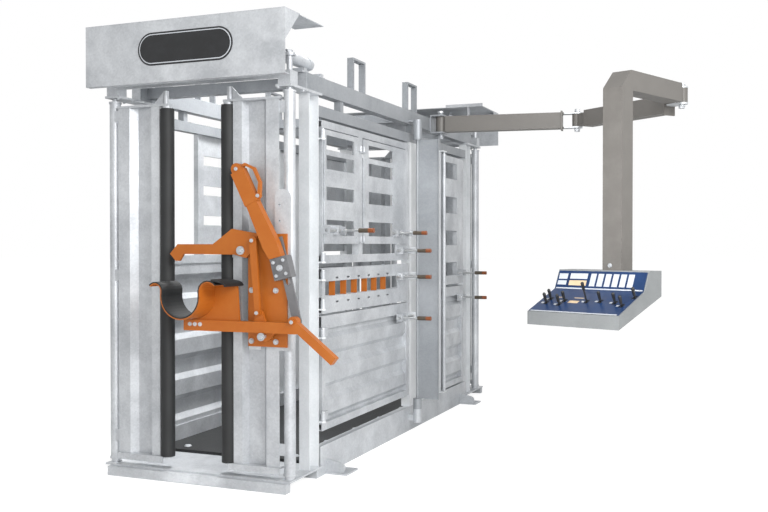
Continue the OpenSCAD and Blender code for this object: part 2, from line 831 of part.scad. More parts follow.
module window_gate() color(zinc) {
  z1 = gate_top;
  tube([gate_x0, gate_y0, split_hi], [half_w, gate_y1, split_hi + 45], wall, 1);
  tube([gate_x0, gate_y0, z1 - 40], [half_w, gate_y1, z1], wall, 1);
  for (p = [[gate_y0, 24], [centre_y0, 60], [gate_y1 - 60, 60]])
    tube([gate_x0, p[0], split_hi + 45 + g], [half_w, p[0] + p[1], z1 - 40 - g], wall, 2);
  block([half_w - 6, gate_y1 - 230, split_hi + 45 + g], [half_w, gate_y1 - 60 - g, window_leaf_z0 - 2]);
  for (z = window_knuckles) gate_knuckle(z, knuckle_len, leaf_front_y - gate_y0 - 4);
  latch_guides(side_base, latch_y, window_gate_latch_z);
  for (z = leaf_knuckles, y = [centre_y0 + 8, centre_y1 - 8]) leaf_pintle(y, z);
  leaf_keeper(leaf_rear_y + 10, window_rear_latch[1]);
  leaf_keeper(leaf_front_y - 18, window_front_latch[1]);
}

module leaf_pintle(y, z) {
  block([half_w + g, y - 9, z - 8.3], [leaf_hinge_x + 9, y + 9, z - fit]);
  rod_z(leaf_hinge_x, y, z - 1, z + 34, leaf_pin_r);
}

module leaf_keeper(y, z) {
  difference() {
    block([half_w + g, y, z - 20], [latch_x + 20, y + 8, z + 20]);
    rod_y(latch_x, z, y - 1, y + 9, bolt_r + 1);
  }
}

// Sheet leaf of bands and edge strips, with its windows from depth w0 to w1
module window_leaf(y0, y1, w0, w1, hinge_at, dir) {
  x0 = window_x;
  x1 = window_x + window_t;
  zs = concat([window_leaf_z0], [for (w = window_z) each w], [window_leaf_z1]);
  block([x0, y0, window_leaf_z0], [x1, w0 - g, window_leaf_z1]);
  block([x0, w1 + g, window_leaf_z0], [x1, y1, window_leaf_z1]);
  for (i = [0:len(window_z)]) block([x0, w0, zs[2 * i]], [x1, w1, zs[2 * i + 1]]);
  for (z = leaf_knuckles) difference() {
    union() {
      rod_z(leaf_hinge_x, hinge_at, z, z + 30, 9);
      block([x1 + g, min(hinge_at, hinge_at + dir * 60), z], [x1 + 5, max(hinge_at, hinge_at + dir * 60), z + 30]);
    }
    rod_z(leaf_hinge_x, hinge_at, z - 1, z + 31, leaf_pin_r + fit);
  }
}

leaf_base = window_x + window_t + g;

module window_leaf_front() color(zinc) {
  window_leaf(leaf_front_y, centre_y0 - 4, leaf_front_y + 22, centre_y0 - 76, centre_y0 + 8, -1);
  latch_guides(leaf_base, window_front_latch[0], window_front_latch[1]);
  y = window_front_latch[0] - guide_off - 8 - g;
  block([leaf_base, leaf_front_y, window_front_latch[1] - 30], [leaf_base + 4, y, window_front_latch[1] + 30]);
}

module window_leaf_rear() color(zinc) {
  window_leaf(centre_y1 + 4, leaf_rear_y, centre_y1 + 75, gate_y1 - 300, centre_y1 - 8, 1);
  latch_guides(leaf_base, window_rear_latch[0], window_rear_latch[1]);
}

slot_y = [for (i = [0:tab_count - 1]) gate_y0 + 170 + i * tab_step];

module comb_gate() color(zinc) {
  hi = comb_z1;
  mid0 = comb_z0 + 93;
  mid1 = hi - 73;
  difference() {
    tube([gate_x0, gate_y0, mid1], [half_w, gate_y1, hi], wall, 1);
    for (y = slot_y) block([half_w - wall - 1, y + 10, mid1 + 12], [half_w + 1, y + 44, mid1 + 22]);
  }
  difference() {
    tube([gate_x0, gate_y0, comb_z0], [half_w, gate_y1, mid0], wall, 1);
    for (y = slot_y) block([half_w - wall - 1, y + 10, mid0 - 40], [half_w + 1, y + 44, mid0 - 31]);
  }
  for (y = [gate_y0, gate_y1 - stile]) tube([gate_x0, y, mid0 + g], [half_w, y + stile, mid1 - g], wall, 2);
  block([half_w - 6, gate_y1 - 195, mid0 + g], [half_w, gate_y1 - stile - g, mid1 - g]);
  for (z = comb_knuckles) gate_knuckle(z, knuckle_len);
  latch_guides(side_base, latch_y, comb_latch_z);
}

module comb_tabs() color(enamel) {
  for (y = slot_y) block([gate_x0 + 2, y - 4, comb_z0 + 93 + g], [half_w - 3, y + 4, comb_z1 - 73 - g]);
}

module kick_gate() color(zinc) {
  tube([gate_x0, gate_y0, kick_z1 - 70], [half_w, gate_y1, kick_z1], wall, 1);
  tube([gate_x0, gate_y0, kick_z0], [half_w, gate_y1, kick_z0 + 40], wall, 1);
  for (y = [gate_y0, gate_y1 - stile])
    tube([gate_x0, y, kick_z0 + 40 + g], [half_w, y + stile, kick_z1 - 70 - g], wall, 2);
  kick_sheet(gate_y0 + stile + g, gate_y1 - stile - g, kick_z0 + 40 + g, kick_z1 - 70 - g, 3);
  for (z = kick_knuckles) gate_knuckle(z, knuckle_len);
  latch_guides(side_base, latch_y, kick_latch_z);
}

// Corrugated infill sheet of a gate
module kick_sheet(y0, y1, z0, z1, n) {
  x0 = gate_x0 + 8;
  pitch = (z1 - z0) / n;
  out = [for (i = [0:n - 1]) for (p = [[0, 0.10], [22, 0.24], [22, 0.66], [0, 0.80]])
    [x0 + p[0], z0 + (i + p[1]) * pitch]];
  line = concat([[x0, z0]], out, [[x0, z1]]);
  back = [for (i = [len(line) - 1:-1:0]) line[i] + [4, 0]];
  translate([0, y1, 0]) rotate([90, 0, 0]) linear_extrude(y1 - y0) polygon(concat(line, back));
}

// Rear side gates on their common rod

rear_split = 935;
rod_split = rear_split;
hinge_tube_r = 13;
rear_gate_z0 = sill_rail_h + 12;

module rear_upper_gate() color(zinc) {
  z0 = rear_split + 10;
  z1 = gate_top - 6;
  hinge_strip(rod_split + fit, z1, rod_split + 10, z1 - 6);
  windows = [[1010, 1110], [1240, 1350], [1480, 1605], [1740, 1860]];
  zs = concat([z0], [for (w = windows) each w], [z1]);
  y0 = rear_gate_y0;
  y1 = rear_gate_y1;
  for (i = [0:len(windows)])
    tube([gate_x0 + 6, y0 + 30 + g, zs[2 * i]], [half_w, y1 - 160 - g, zs[2 * i + 1]], 3, 1);
  tube([gate_x0 + 6, y0, z0], [half_w, y0 + 30, z1], 3, 2);
  tube([gate_x0 + 6, y1 - 160, z0], [half_w, y1, z1], 3, 2);
  latch_guides(side_base, rear_latch_y, rear_upper_latch_z);
}

// Hinge tube from z0 to z1 with its strip on the gate from s0 to s1
module hinge_strip(z0, z1, s0, s1) {
  difference() {
    union() {
      rod_z(hinge_x, rod_y, z0, z1, hinge_tube_r);
      block([half_w + g, rod_y, s0], [half_w + 8, rear_gate_y0 + 25, s1]);
    }
    rod_z(hinge_x, rod_y, z0 - 1, z1 + 1, hinge_pin_r - 1 + fit);
  }
}

module rear_lower_gate() color(zinc) {
  y0 = rear_gate_y0;
  y1 = rear_gate_y1;
  z0 = rear_gate_z0;
  z1 = rear_split - 10;
  hinge_strip(rod_z0, rod_split, z0 + 6, z1 - 6);
  tube([gate_x0, y0, z1 - 70], [half_w, y1, z1], wall, 1);
  tube([gate_x0, y0, z0], [half_w, y1, z0 + 40], wall, 1);
  for (y = [y0, y1 - stile]) tube([gate_x0, y, z0 + 40 + g], [half_w, y + stile, z1 - 70 - g], wall, 2);
  kick_sheet(y0 + stile + g, y1 - stile - g, z0 + 40 + g, z1 - 70 - g, 3);
  latch_guides(side_base, rear_latch_y, rear_lower_latch_z);
}

// Narrow wing panel that swings on the outside of the mid post
module wing_panel() color(zinc) {
  block([wing_x, wing_y - 3, wing_z0], [wing_x + wing_w, wing_y + 3, wing_z1]);
  block([wing_x + wing_w - 3, wing_y - 12, wing_z0], [wing_x + wing_w, wing_y, wing_z1]);
  rod_z(wing_x, wing_y, wing_z0, wing_z1, 9);
  rod_z(wing_x, wing_y, wing_z0 - 70, wing_z0 - g, wing_r);
  rod_z(wing_x, wing_y, wing_z0 - 110, wing_z0 - 60, wing_pin_r);
  rod_z(wing_x, wing_y, wing_z1 + g, wing_z1 + 8, wing_r);
  rod_z(wing_x, wing_y, wing_z1 + 4, rail_z0 - 5, wing_pin_r);
}

// Latch bolt with its handle, drawn back; reach is its length beyond the guide centre,
// and dir tells which way it shoots
module latch(y, z, dir, reach) {
  tail = guide_off + 12 + bolt_travel;
  handle = y - dir * bolt_travel / 2;
  rod_y(latch_x, z, y - (dir > 0 ? tail : reach), y + (dir > 0 ? reach : tail), bolt_r);
  rod_x(handle, z, latch_x, half_w + handle_reach - 60, 7);
  rod_x(handle, z, half_w + handle_reach - 90, half_w + handle_reach, grip_r);
  rod_x(handle, z, latch_x + 24, latch_x + 30, 12);
}

module latch_window_front() color(enamel)
  latch(window_front_latch[0], window_front_latch[1], -1, window_front_latch[0] - leaf_front_y + 2);
module latch_window_rear() color(enamel)
  latch(window_rear_latch[0], window_rear_latch[1], 1, leaf_rear_y - window_rear_latch[0] + 2);
module latch_window_gate() color(enamel) latch(latch_y, window_gate_latch_z, 1, gate_y1 - latch_y - 2);
module latch_comb() color(enamel) latch(latch_y, comb_latch_z, 1, gate_y1 - latch_y - 2);
module latch_kick() color(enamel) latch(latch_y, kick_latch_z, 1, gate_y1 - latch_y - 2);
module latch_rear_upper() color(enamel)
  latch(rear_latch_y, rear_upper_latch_z, 1, rear_gate_y1 - rear_latch_y - 2);
module latch_rear_lower() color(enamel)
  latch(rear_latch_y, rear_lower_latch_z, 1, rear_gate_y1 - rear_latch_y - 2);

// Head restraint

// Bolt along Y with a round head in front, from depth y1 forward to y0
module bolt_y(at, y0, y1, r, head_r) {
  rod_y(at[0], at[1], y0, y1, r);
  rod_y(at[0], at[1], y0 - 8, y0, head_r);
}

plate_bolts = [[345, 1015], [484, 1015], [344, 757], [484, 757]];

module restraint_bracket() color(zinc) {
  difference() {
    union() {
      block([322, plate_y, 712], [392, leaf_face - g, 1400]);
      block([470, plate_y, 712], [560, leaf_face - g, 1480]);
      rod_y(515, 1480, plate_y, leaf_face - g, 45);
      block([225, plate_y, 1180], [545, leaf_face - g, 1250]);
      block([322, plate_y, 752], [545, leaf_face - g, 820]);
    }
    for (p = [[359, 1359], [499, 1445], [499, 1363]]) rod_y(p[0], p[1], plate_y - 1, leaf_face, 7);
  }
  // Plate bolts, and the three pivot bolts
  for (p = plate_bolts) bolt_y(p, plate_face - g, plate_y - g, 8, 14);
  pivot_bolt(chin_pivot, arm_y - arm_d - 6, 20);
  pivot_bolt(nose_pivot, lug_y - lug_t - 3, 22);
  pivot_bolt(clamp_at, clamp_y0 - 3, 16);
}

clamp_y0 = strut_y - strut_t - 44;

module pivot_bolt(at, y0, head_r) {
  rod_y(at[0], at[1], y0, plate_y - g, pivot_r);
  rod_y(at[0], at[1], y0 - 8, y0, head_r);
}

module restraint_plate() color(enamel) difference() {
  block([323, plate_face, 730], [545, plate_y - g, 1300]);
  for (p = plate_bolts) rod_y(p[0], p[1], plate_face - 1, plate_y + 1, 8 + fit);
  for (p = [chin_pivot, nose_pivot, clamp_at]) rod_y(p[0], p[1], plate_face - 1, plate_y + 1, pivot_r + fit);
}

arm_z0 = 805;
arm_z1 = arm_z0 + arm_h;
handle_end = [828, 679];

// Chin arm: box section, lug to the pivot, lug to the link, knuckle and handle
module chin_arm() color(enamel) {
  z0 = arm_z0;
  z1 = arm_z1;
  y0 = arm_y - arm_d;
  difference() {
    union() {
      plate_xz([[-23, z0], [-23, z1], [634, z1], handle_end + [13, 16.5], handle_end - [13, 16.5],
        [636, z0]], y0, arm_d);
      rod_y(strut_pin[0], strut_pin[1], y0, arm_y, 26);
      plate_xz([[375, z1 - 1], [440, z1 - 1], [422, 910], [404, 922], [386, 910]], lug_y - lug_t, lug_t);
      plate_xz([[385, z0 + 1], [500, z0 + 1], [462, 768], [436.6, 760], [411, 768]], lug_y - lug_t, lug_t);
    }
    rod_y(chin_pivot[0], chin_pivot[1], y0 - 1, arm_y + 10, pivot_r + fit);
    rod_y(strut_pin[0], strut_pin[1], y0 - 1, arm_y + 1, 8 + fit);
  }
  // Pin that carries the foot of the link
  rod_y(link_low[0], link_low[1], link_y - link_t - 3, lug_y - lug_t + 2, 8);
  rod_y(link_low[0], link_low[1], link_y - link_t - 9, link_y - link_t - 3, 13);
  // Pin that carries the foot of the strut
  rod_y(strut_pin[0], strut_pin[1], y0 - 4, strut_y + 3, 8);
  rod_y(strut_pin[0], strut_pin[1], y0 - 12, y0 - 4, 14);
}

// Cradle outline: two flared lips joined by a round trough, as [x, z]
function arc(c, r, a0, a1, n) = [for (i = [0:n]) c + r * [cos(a0 + (a1 - a0) * i / n), sin(a0 + (a1 - a0) * i / n)]];

scoop_c = [42, 985];
scoop_r = 112;
lip_r = [40, 52];
lip_deg = [170.5, 8.7];

// The lips are tangent to the trough, so every offset of the line is smooth as well
function lip_c(i) = scoop_c + (scoop_r + lip_r[i]) * [cos(lip_deg[i]), sin(lip_deg[i])];
function scoop_line(t) = concat(
    arc(lip_c(0), lip_r[0] + t, 140, lip_deg[0] - 180, 8),
    arc(scoop_c, scoop_r - t, lip_deg[0], 360 + lip_deg[1], 20),
    arc(lip_c(1), lip_r[1] + t, 180 + lip_deg[1], 40, 8));

module cradle(t0, t1) {
  outer = scoop_line(t0);
  inner = scoop_line(t1);
  n = len(inner);
  plate_xz(concat(outer, [for (i = [n - 1:-1:0]) inner[i]]), scoop_y0, scoop_d);
}

scoop_y0 = leaf_face - 32 - scoop_d;

module chin_scoop() color(enamel) {
  cradle(-5, 0);
  // Web from the arm to the trough and under the lip beside it
  web = concat([[20, arm_z1 + g], [300, arm_z1 + g], [288, 1036]],
    arc(lip_c(1), lip_r[1] - 2.5, 40, 180 + lip_deg[1], 12),
    arc(scoop_c, scoop_r + 2.5, lip_deg[1] - 9, -100, 11));
  plate_xz(web, arm_y - 26, 12);
}

module scoop_lining() color(rubber) cradle(g, lining_t);

// Nose bar with its hooked tip
module nose_bar() color(enamel) {
  y0 = lug_y - lug_t;
  difference() {
    union() {
      plate_xz([[-125, 1198], [-90, 1161], [-68, 1161], [-42, 1197], [262, 1195], [330, 1178], [352, 1200],
        [398, 1294], [392, 1302], [248, 1326], [135.5, 1248], [-78, 1248]], y0, lug_t);
      rod_y(nose_pivot[0], nose_pivot[1], y0, lug_y + 13, 24);
    }
    rod_y(nose_pivot[0], nose_pivot[1], y0 - 1, lug_y + 20, pivot_r + fit);
  }
  rod_y(link_top[0], link_top[1], link_y - link_t - 3, y0 + 2, 8);
  rod_y(link_top[0], link_top[1], link_y - link_t - 9, link_y - link_t - 3, 13);
}

// Tapered link, with a slack upper eye
module link_bar() color(enamel) difference() {
  translate([0, link_y, 0]) rotate([90, 0, 0]) linear_extrude(link_t) hull() {
    translate(link_low) circle(r = 15, $fn = 32);
    translate(link_top) circle(r = 21, $fn = 32);
  }
  rod_y(link_low[0], link_low[1], link_y - link_t - 1, link_y + 1, 8 + fit);
  rod_y(link_top[0], link_top[1], link_y - link_t - 1, link_y + 1, 8 + 3);
}

strut_deg = atan2(clamp_at[1] - strut_pin[1], clamp_at[0] - strut_pin[0]) - 90;
strut_len = 430;
strut_hw = 24;
slot_hw = pivot_r + 4;
slot_reach = 75;

module clamp_strut() color(boom_grey) translate([strut_pin[0], strut_y, strut_pin[1]])
  rotate([0, -strut_deg, 0]) rotate([90, 0, 0]) linear_extrude(strut_t) difference() {
    union() {
      circle(r = strut_hw);
      translate([-strut_hw, 0]) square([2 * strut_hw, strut_len]);
    }
    circle(r = 8 + fit);
    at = norm(clamp_at - strut_pin);
    for (s = [-1, 1]) translate([0, at + s * slot_reach]) circle(r = slot_hw);
    translate([-slot_hw, at - slot_reach]) square([2 * slot_hw, 2 * slot_reach]);
  }

// Clamp block round the strut, turned with it about the clamp pivot
module clamp_frame() {
  translate([clamp_at[0], 0, clamp_at[1]]) rotate([0, -strut_deg, 0]) children();
}

clamp_hw = strut_hw + 24;

module friction_clamp() color(boom_grey) clamp_frame() difference() {
  union() {
    block([-clamp_hw, clamp_y0, -55], [clamp_hw, strut_y - strut_t - fit, 55]);
    for (x = [-28, 28], z = [-34, 34]) rod_y(x, z, clamp_y0 - 8, clamp_y0, 11);
    for (s = [-1, 1]) block([s * (clamp_hw - 9) - 9, strut_y - strut_t - 1, -55],
      [s * (clamp_hw - 9) + 9, strut_y + 1, 55]);
  }
  rod_y(0, 0, clamp_y0 - 20, strut_y + 5, pivot_r + fit);
}

lever_deg = atan2(lever_top[1] - clamp_at[1], lever_top[0] - clamp_at[0]) - 90;

module lever_frame() {
  translate([clamp_at[0], 0, clamp_at[1]]) rotate([0, -lever_deg, 0]) children();
}

lever_y1 = clamp_y0 + 38;
foot_deg = lever_deg - strut_deg;
function lever_foot(x) = [x, (55 + g - x * sin(foot_deg)) / cos(foot_deg)];
lever_y0 = lever_y1 - 46;

module clamp_lever() color(enamel) lever_frame() {
  len = norm(lever_top - clamp_at);
  translate([0, lever_y1, 0]) rotate([90, 0, 0]) linear_extrude(46)
    polygon([lever_foot(-34), lever_foot(34), [42, 130], [32, 345], [29, len], [-29, len], [-32, 345], [-42, 130]]);
  rod_y(0, len, lever_y0, lever_y1, 29);
}

module grip_loop() color(enamel) lever_frame() {
  len = norm(lever_top - clamp_at);
  hinge = [45.9, len - 175];
  rod_y(hinge[0], hinge[1], lever_y0 + 8, lever_y0 + 30, 14);
  plate_xz([[46, len - 180], [60, len - 178], [92, len - 120], [92, len - 40], [52, len + 8], [34, len + 8],
    [34, len - 6], [48, len - 6], [78, len - 44], [78, len - 116], [46, len - 166]], lever_y0 + 10, 18);
}

// Boom

module fork_plates(z0, h, len) {
  for (z = [z0 - fit - fork_t, z0 + h + fit]) difference() {
    hull() {
      translate([0, 0, z]) cylinder(r = hub_r + 4, h = fork_t);
      translate([len, -boom_w / 2, z]) cube([4, boom_w, fork_t]);
    }
    translate([0, 0, z - 1]) cylinder(r = boom_pin_r + fit, h = fork_t + 2);
  }
}

// Hub tube round a boom pin with a web plate to the arm that starts at length len
module hub(z0, h, len) {
  difference() {
    union() {
      translate([0, 0, z0]) cylinder(r = hub_r, h = h);
      translate([0, -22, z0]) cube([len, 44, h]);
    }
    translate([0, 0, z0 - 1]) cylinder(r = boom_pin_r + fit, h = h + 2);
  }
}

arm_gap = 110;
root_len = 38;
cap = 12;

module boom_arm_1() color(boom_grey) translate([pin_0[0], pin_0[1], 0]) rotate([0, 0, arm1_deg]) {
  z1 = boom_z0 + boom_h;
  end = arm1_len - arm_gap;
  hub(boom_z0, boom_h, root_len);
  block([root_len + g, -boom_w / 2, boom_z0], [root_len + cap, boom_w / 2, z1]);
  tube([root_len + cap + g, -boom_w / 2, boom_z0], [end, boom_w / 2, z1], wall, 0);
  block([end + g, -boom_w / 2 - 6, boom_z0 - 10], [end + cap, boom_w / 2 + 6, z1 + 10]);
  translate([arm1_len, 0, 0]) rotate([0, 0, 180]) fork(boom_z0 + 12, boom_h - 24);
}

// Bright fork with its pin, welded to the end plate of an arm
module fork(z0, h) {
  len = arm_gap - cap - g;
  for (z = [z0 - fit - fork_t, z0 + h + fit]) difference() {
    union() {
      translate([0, 0, z]) cylinder(r = hub_r + 2, h = fork_t);
      translate([0, -hub_r - 2, z]) cube([len - g, 2 * hub_r + 4, fork_t]);
    }
  }
  translate([0, 0, z0 - fit - fork_t - 8]) cylinder(r = boom_pin_r, h = h + 2 * fork_t + 2 * fit + 16);
}

module boom_arm_2() color(boom_grey) translate([pin_1[0], pin_1[1], 0]) rotate([0, 0, arm2_deg]) {
  hub(boom_z0 + 12, boom_h - 24, arm_gap - g);
  end = arm2_len - arm_gap;
  block([arm_gap, -boom_w / 2, boom_z0], [arm_gap + cap, boom_w / 2, boom_z0 + boom_h]);
  tube([arm_gap + cap + g, -boom_w / 2, boom_z0], [end, boom_w / 2, boom_z0 + boom_h], wall, 0);
  block([end + g, -boom_w / 2 - 6, boom_z0 - 10], [end + cap, boom_w / 2 + 6, arm3_z0 + boom_h + 10]);
  translate([arm2_len, 0, 0]) rotate([0, 0, 180]) fork(arm3_z0 + 12, boom_h - 24);
}

// Last arm, mitred twice into the column that carries the console
module boom_column() color(boom_grey) {
  translate([pin_2[0], pin_2[1], 0]) rotate([0, 0, arm3_deg]) {
    hub(arm3_z0 + 12, boom_h - 24, arm_gap - g);
    c = column_w / 2;
    top = arm3_z0 + boom_h;
    mitre = 100;
    difference() {
      column_profile(0, column_w, [arm_gap, console_top + g], top, mitre);
      column_profile(wall, column_w - 2 * wall, [arm_gap + 12, console_top - 1], top, mitre);
    }
  }
}

// Arm and column in one outline, drawn in by t on its long faces
module column_profile(t, width, ends, top, mitre) {
  c = column_w / 2 - t;
  translate([0, width / 2, 0]) rotate([90, 0, 0]) linear_extrude(width) polygon([
    [ends[0], arm3_z0 + t], [arm3_len - c - 8, arm3_z0 + t], [arm3_len - c, arm3_z0 + t - 8],
    [arm3_len - c, ends[1]], [arm3_len + c, ends[1]], [arm3_len + c, top - mitre - t / 2],
    [arm3_len + c - mitre + t / 2, top - t], [ends[0], top - t]]);
}

console_top = console_profile[3][1];

// Console

module console_frame() {
  translate([column[0], column[1], 0]) rotate([0, 0, console_deg]) children();
}

// Profile in [depth, height] that is run across the console
module run_x(outline, x0, x1) {
  translate([x0, 0, 0]) rotate([90, 0, 90]) linear_extrude(x1 - x0) polygon(outline);
}

function lever_place(l) = [l[0], l[1], 886 + (l[1] + 370) * tan(panel_deg)];

module at_lever(l) {
  console_frame() translate(lever_place(l)) rotate([panel_deg, 0, 0]) children();
}

module console_box() color(zinc) {
  p = console_profile;
  t = console_t;
  x0 = -console_left;
  x1 = console_w - console_left;
  inner = [p[0] + [t, 1.5 * t], p[1] + [t, -0.5 * t], p[2] + [t, -t], p[3] + [1.2 * t, -t], p[4] - [t, t], p[5] + [-t, t]];
  mouth = [p[1] + [14, -t], p[1] + [14, 20], p[2] + [-20, 40], p[3] + [-20, -10], p[3] + [2 * t, -14], p[2] + [14, -14]];
  console_frame() difference() {
    run_x(p, x0, x1);
    run_x(inner, x0 + t, x1 - t);
    run_x(mouth, x0 + 8, x1 - 8);
  }
  // Valve bodies on their tray under the panel, with cheeks that hold the lever pins
  for (l = levers) at_lever(l) valve();
  at_lever([0, -235]) block([x0 + t + g, -75, -valve_z - g - 4], [x1 - t - g, 80, -valve_z - g]);
}

valve_z = lever_pivot + 34;

module valve() {
  d = lever_pivot;
  block([-10, -16, -valve_z], [10, 16, -d - 10]);
  for (s = [-1, 1]) difference() {
    block([s * 8 - 2, -9, -d - 11], [s * 8 + 2, 9, -d + 8]);
    translate([s * 8 - 3, 0, -d]) rotate([0, 90, 0]) cylinder(r = 3 + fit, h = 6);
  }
}

module console_panel() color(panel_blue) {
  p = console_profile;
  n1 = panel_t * [-sin(panel_deg), cos(panel_deg)];
  n2 = [-panel_t, 0.6 * panel_t];
  low = p[1] + [6, 6 * tan(panel_deg)];
  high = p[3] - [4, 8];
  outline = [low + [0, g], p[2] + [-1, g], high + [0, g], high + n2, p[2] + [-1, 0] + n1 + [-1, 0], low + n1];
  difference() {
    console_frame() run_x(outline, -console_left + 6, console_w - console_left - 6);
    for (l = levers) at_lever(l) block([-7, -14, -10], [7, 14, 10]);
  }
}

module lever(i) color(rubber) {
  l = levers[i];
  len = lever_len * l[2];
  at_lever(l) {
    translate([0, 0, -lever_pivot]) cylinder(r = 4.5, h = lever_pivot + len - 20);
    translate([0, 0, len - 46]) cylinder(r1 = 7, r2 = 9, h = 40);
    translate([0, 0, len - 6]) cylinder(r1 = 9, r2 = 5, h = 6);
    translate([-10, 0, -lever_pivot]) rotate([0, 90, 0]) cylinder(r = 3, h = 20);
    translate([0, 0, -lever_pivot]) rotate([0, 90, 0]) translate([0, 0, -5.5]) cylinder(r = 7, h = 11);
  }
}

base_frame();
floor_mat();
side_posts();
top_rails();
front_header();
front_fascia();
rear_header();
left_wall();
head_leaf_right();
head_leaf_left();
tail_leaf_right();
tail_leaf_left();
neck_rubber_right();
neck_rubber_left();
gate_cylinders();
rod_front_right();
rod_front_left();
rod_rear_right();
rod_rear_left();
restraint_bracket();
restraint_plate();
chin_arm();
chin_scoop();
scoop_lining();
nose_bar();
link_bar();
clamp_strut();
friction_clamp();
clamp_lever();
grip_loop();
window_gate();
window_leaf_front();
window_leaf_rear();
comb_gate();
comb_tabs();
kick_gate();
rear_upper_gate();
rear_lower_gate();
wing_panel();
boom_arm_1();
boom_arm_2();
boom_column();
console_box();
console_panel();
lever(0);  // lever_1
lever(1);  // lever_2
lever(2);  // lever_3
lever(3);  // lever_4
lever(4);  // lever_5
lever(5);  // lever_6
lever(6);  // lever_7
lever(7);  // lever_8
lever(8);  // lever_9
latch_window_front();
latch_window_rear();
latch_window_gate();
latch_comb();
latch_kick();
latch_rear_upper();
latch_rear_lower();
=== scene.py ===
# Dresses the cattle crush in zinc, enamel, paint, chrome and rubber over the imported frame, and adds its
# nuts and screws, end caps, clamp bands, lever sleeve, lining flap, badge plates and console tiles.
import json
import math

import bmesh
import bpy
from mathutils import Matrix, Vector, geometry

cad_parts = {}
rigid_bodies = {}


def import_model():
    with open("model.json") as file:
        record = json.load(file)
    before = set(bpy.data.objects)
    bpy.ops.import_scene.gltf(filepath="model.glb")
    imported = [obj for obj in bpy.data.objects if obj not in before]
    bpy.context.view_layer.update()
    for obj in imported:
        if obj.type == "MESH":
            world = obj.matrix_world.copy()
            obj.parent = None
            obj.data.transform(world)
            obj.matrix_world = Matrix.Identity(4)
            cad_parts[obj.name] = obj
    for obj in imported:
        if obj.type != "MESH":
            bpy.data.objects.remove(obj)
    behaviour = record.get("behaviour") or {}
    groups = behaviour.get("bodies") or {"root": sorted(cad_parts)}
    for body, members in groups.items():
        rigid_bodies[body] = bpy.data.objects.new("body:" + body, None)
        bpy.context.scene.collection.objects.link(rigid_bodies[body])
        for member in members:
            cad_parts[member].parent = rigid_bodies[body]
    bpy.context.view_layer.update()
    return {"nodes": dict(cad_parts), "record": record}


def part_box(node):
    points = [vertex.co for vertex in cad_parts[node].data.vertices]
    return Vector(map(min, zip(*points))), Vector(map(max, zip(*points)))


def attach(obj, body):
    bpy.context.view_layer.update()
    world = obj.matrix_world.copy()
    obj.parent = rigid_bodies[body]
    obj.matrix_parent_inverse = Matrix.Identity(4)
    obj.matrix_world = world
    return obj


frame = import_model()

MM = 0.001


# Nodes and colours

def hex_linear(code):
    """A written sRGB colour as the linear colour that shaders read."""
    parts = [int(code[i:i + 2], 16) / 255 for i in (1, 3, 5)]
    return [p / 12.92 if p <= 0.04045 else ((p + 0.055) / 1.055) ** 2.4 for p in parts] + [1.0]


def pattern_scale(size_mm):
    """The texture scale at which one patch of a pattern is so many millimetres across."""
    return 1 / (size_mm * MM)


def add(tree, kind, sockets=None, **settings):
    """Adds a node with its settings; each socket gets a value, or a link from another node's output."""
    made = tree.nodes.new(kind)
    for name, value in settings.items():
        setattr(made, name, value)
    for name, value in (sockets or {}).items():
        if isinstance(value, bpy.types.NodeSocket):
            tree.links.new(value, made.inputs[name])
        else:
            made.inputs[name].default_value = value
    return made


def new_material(name):
    """An empty material, its node tree and the object coordinates that its patterns read."""
    material = bpy.data.materials.new(name)
    material.use_nodes = True
    tree = material.node_tree
    tree.nodes.clear()
    return material, tree, add(tree, "ShaderNodeTexCoord").outputs["Object"]


def close_material(tree, shader):
    """Links a finished shader to the material's output."""
    add(tree, "ShaderNodeOutputMaterial", {"Surface": shader.outputs["BSDF"]})


# Finishes

def galvanised(name, pale, dull, spangle_mm, cloud_mm, shine):
    """Mild steel dipped in molten zinc: pale crystals a few millimetres across, cloudy dull
    patches a hand wide where the zinc cooled unevenly, and a soft satin shine. The shine is the
    roughness of the palest metal and of the dullest."""
    ripple_mm, ripple_depth_mm, crystal_share = 6, 0.4, 0.12
    material, tree, place = new_material(name)
    crystal = add(tree, "ShaderNodeTexVoronoi", {"Vector": place, "Scale": pattern_scale(spangle_mm)})
    cloud = add(tree, "ShaderNodeTexNoise", {"Vector": place, "Scale": pattern_scale(cloud_mm), "Detail": 3.0,
                                             "Roughness": 0.6, "Distortion": 0.4})
    grey = add(tree, "ShaderNodeSeparateColor", {"Color": crystal.outputs["Color"]})
    mixed = add(tree, "ShaderNodeMath", {0: grey.outputs["Red"], 1: crystal_share}, operation="MULTIPLY")
    tone = add(tree, "ShaderNodeMath", {0: mixed.outputs[0], 1: cloud.outputs["Fac"]}, operation="ADD")
    level = add(tree, "ShaderNodeMapRange", {"Value": tone.outputs[0], "From Min": 0.38, "From Max": 0.82})
    colour = add(tree, "ShaderNodeMix", {"Factor": level.outputs["Result"], "A": hex_linear(dull),
                                         "B": hex_linear(pale)}, data_type="RGBA")
    rough = add(tree, "ShaderNodeMapRange", {"Value": tone.outputs[0], "From Min": 0.35, "From Max": 0.85,
                                             "To Min": shine[1], "To Max": shine[0]})
    ripple = add(tree, "ShaderNodeTexNoise", {"Vector": place, "Scale": pattern_scale(ripple_mm),
                                              "Detail": 2.0})
    bump = add(tree, "ShaderNodeBump", {"Height": ripple.outputs["Fac"], "Strength": 0.05,
                                        "Distance": ripple_depth_mm * MM})
    shader = add(tree, "ShaderNodeBsdfPrincipled", {"Base Color": colour.outputs["Result"], "Metallic": 0.4,
                                                    "Roughness": rough.outputs["Result"],
                                                    "Normal": bump.outputs["Normal"]})
    close_material(tree, shader)
    return material


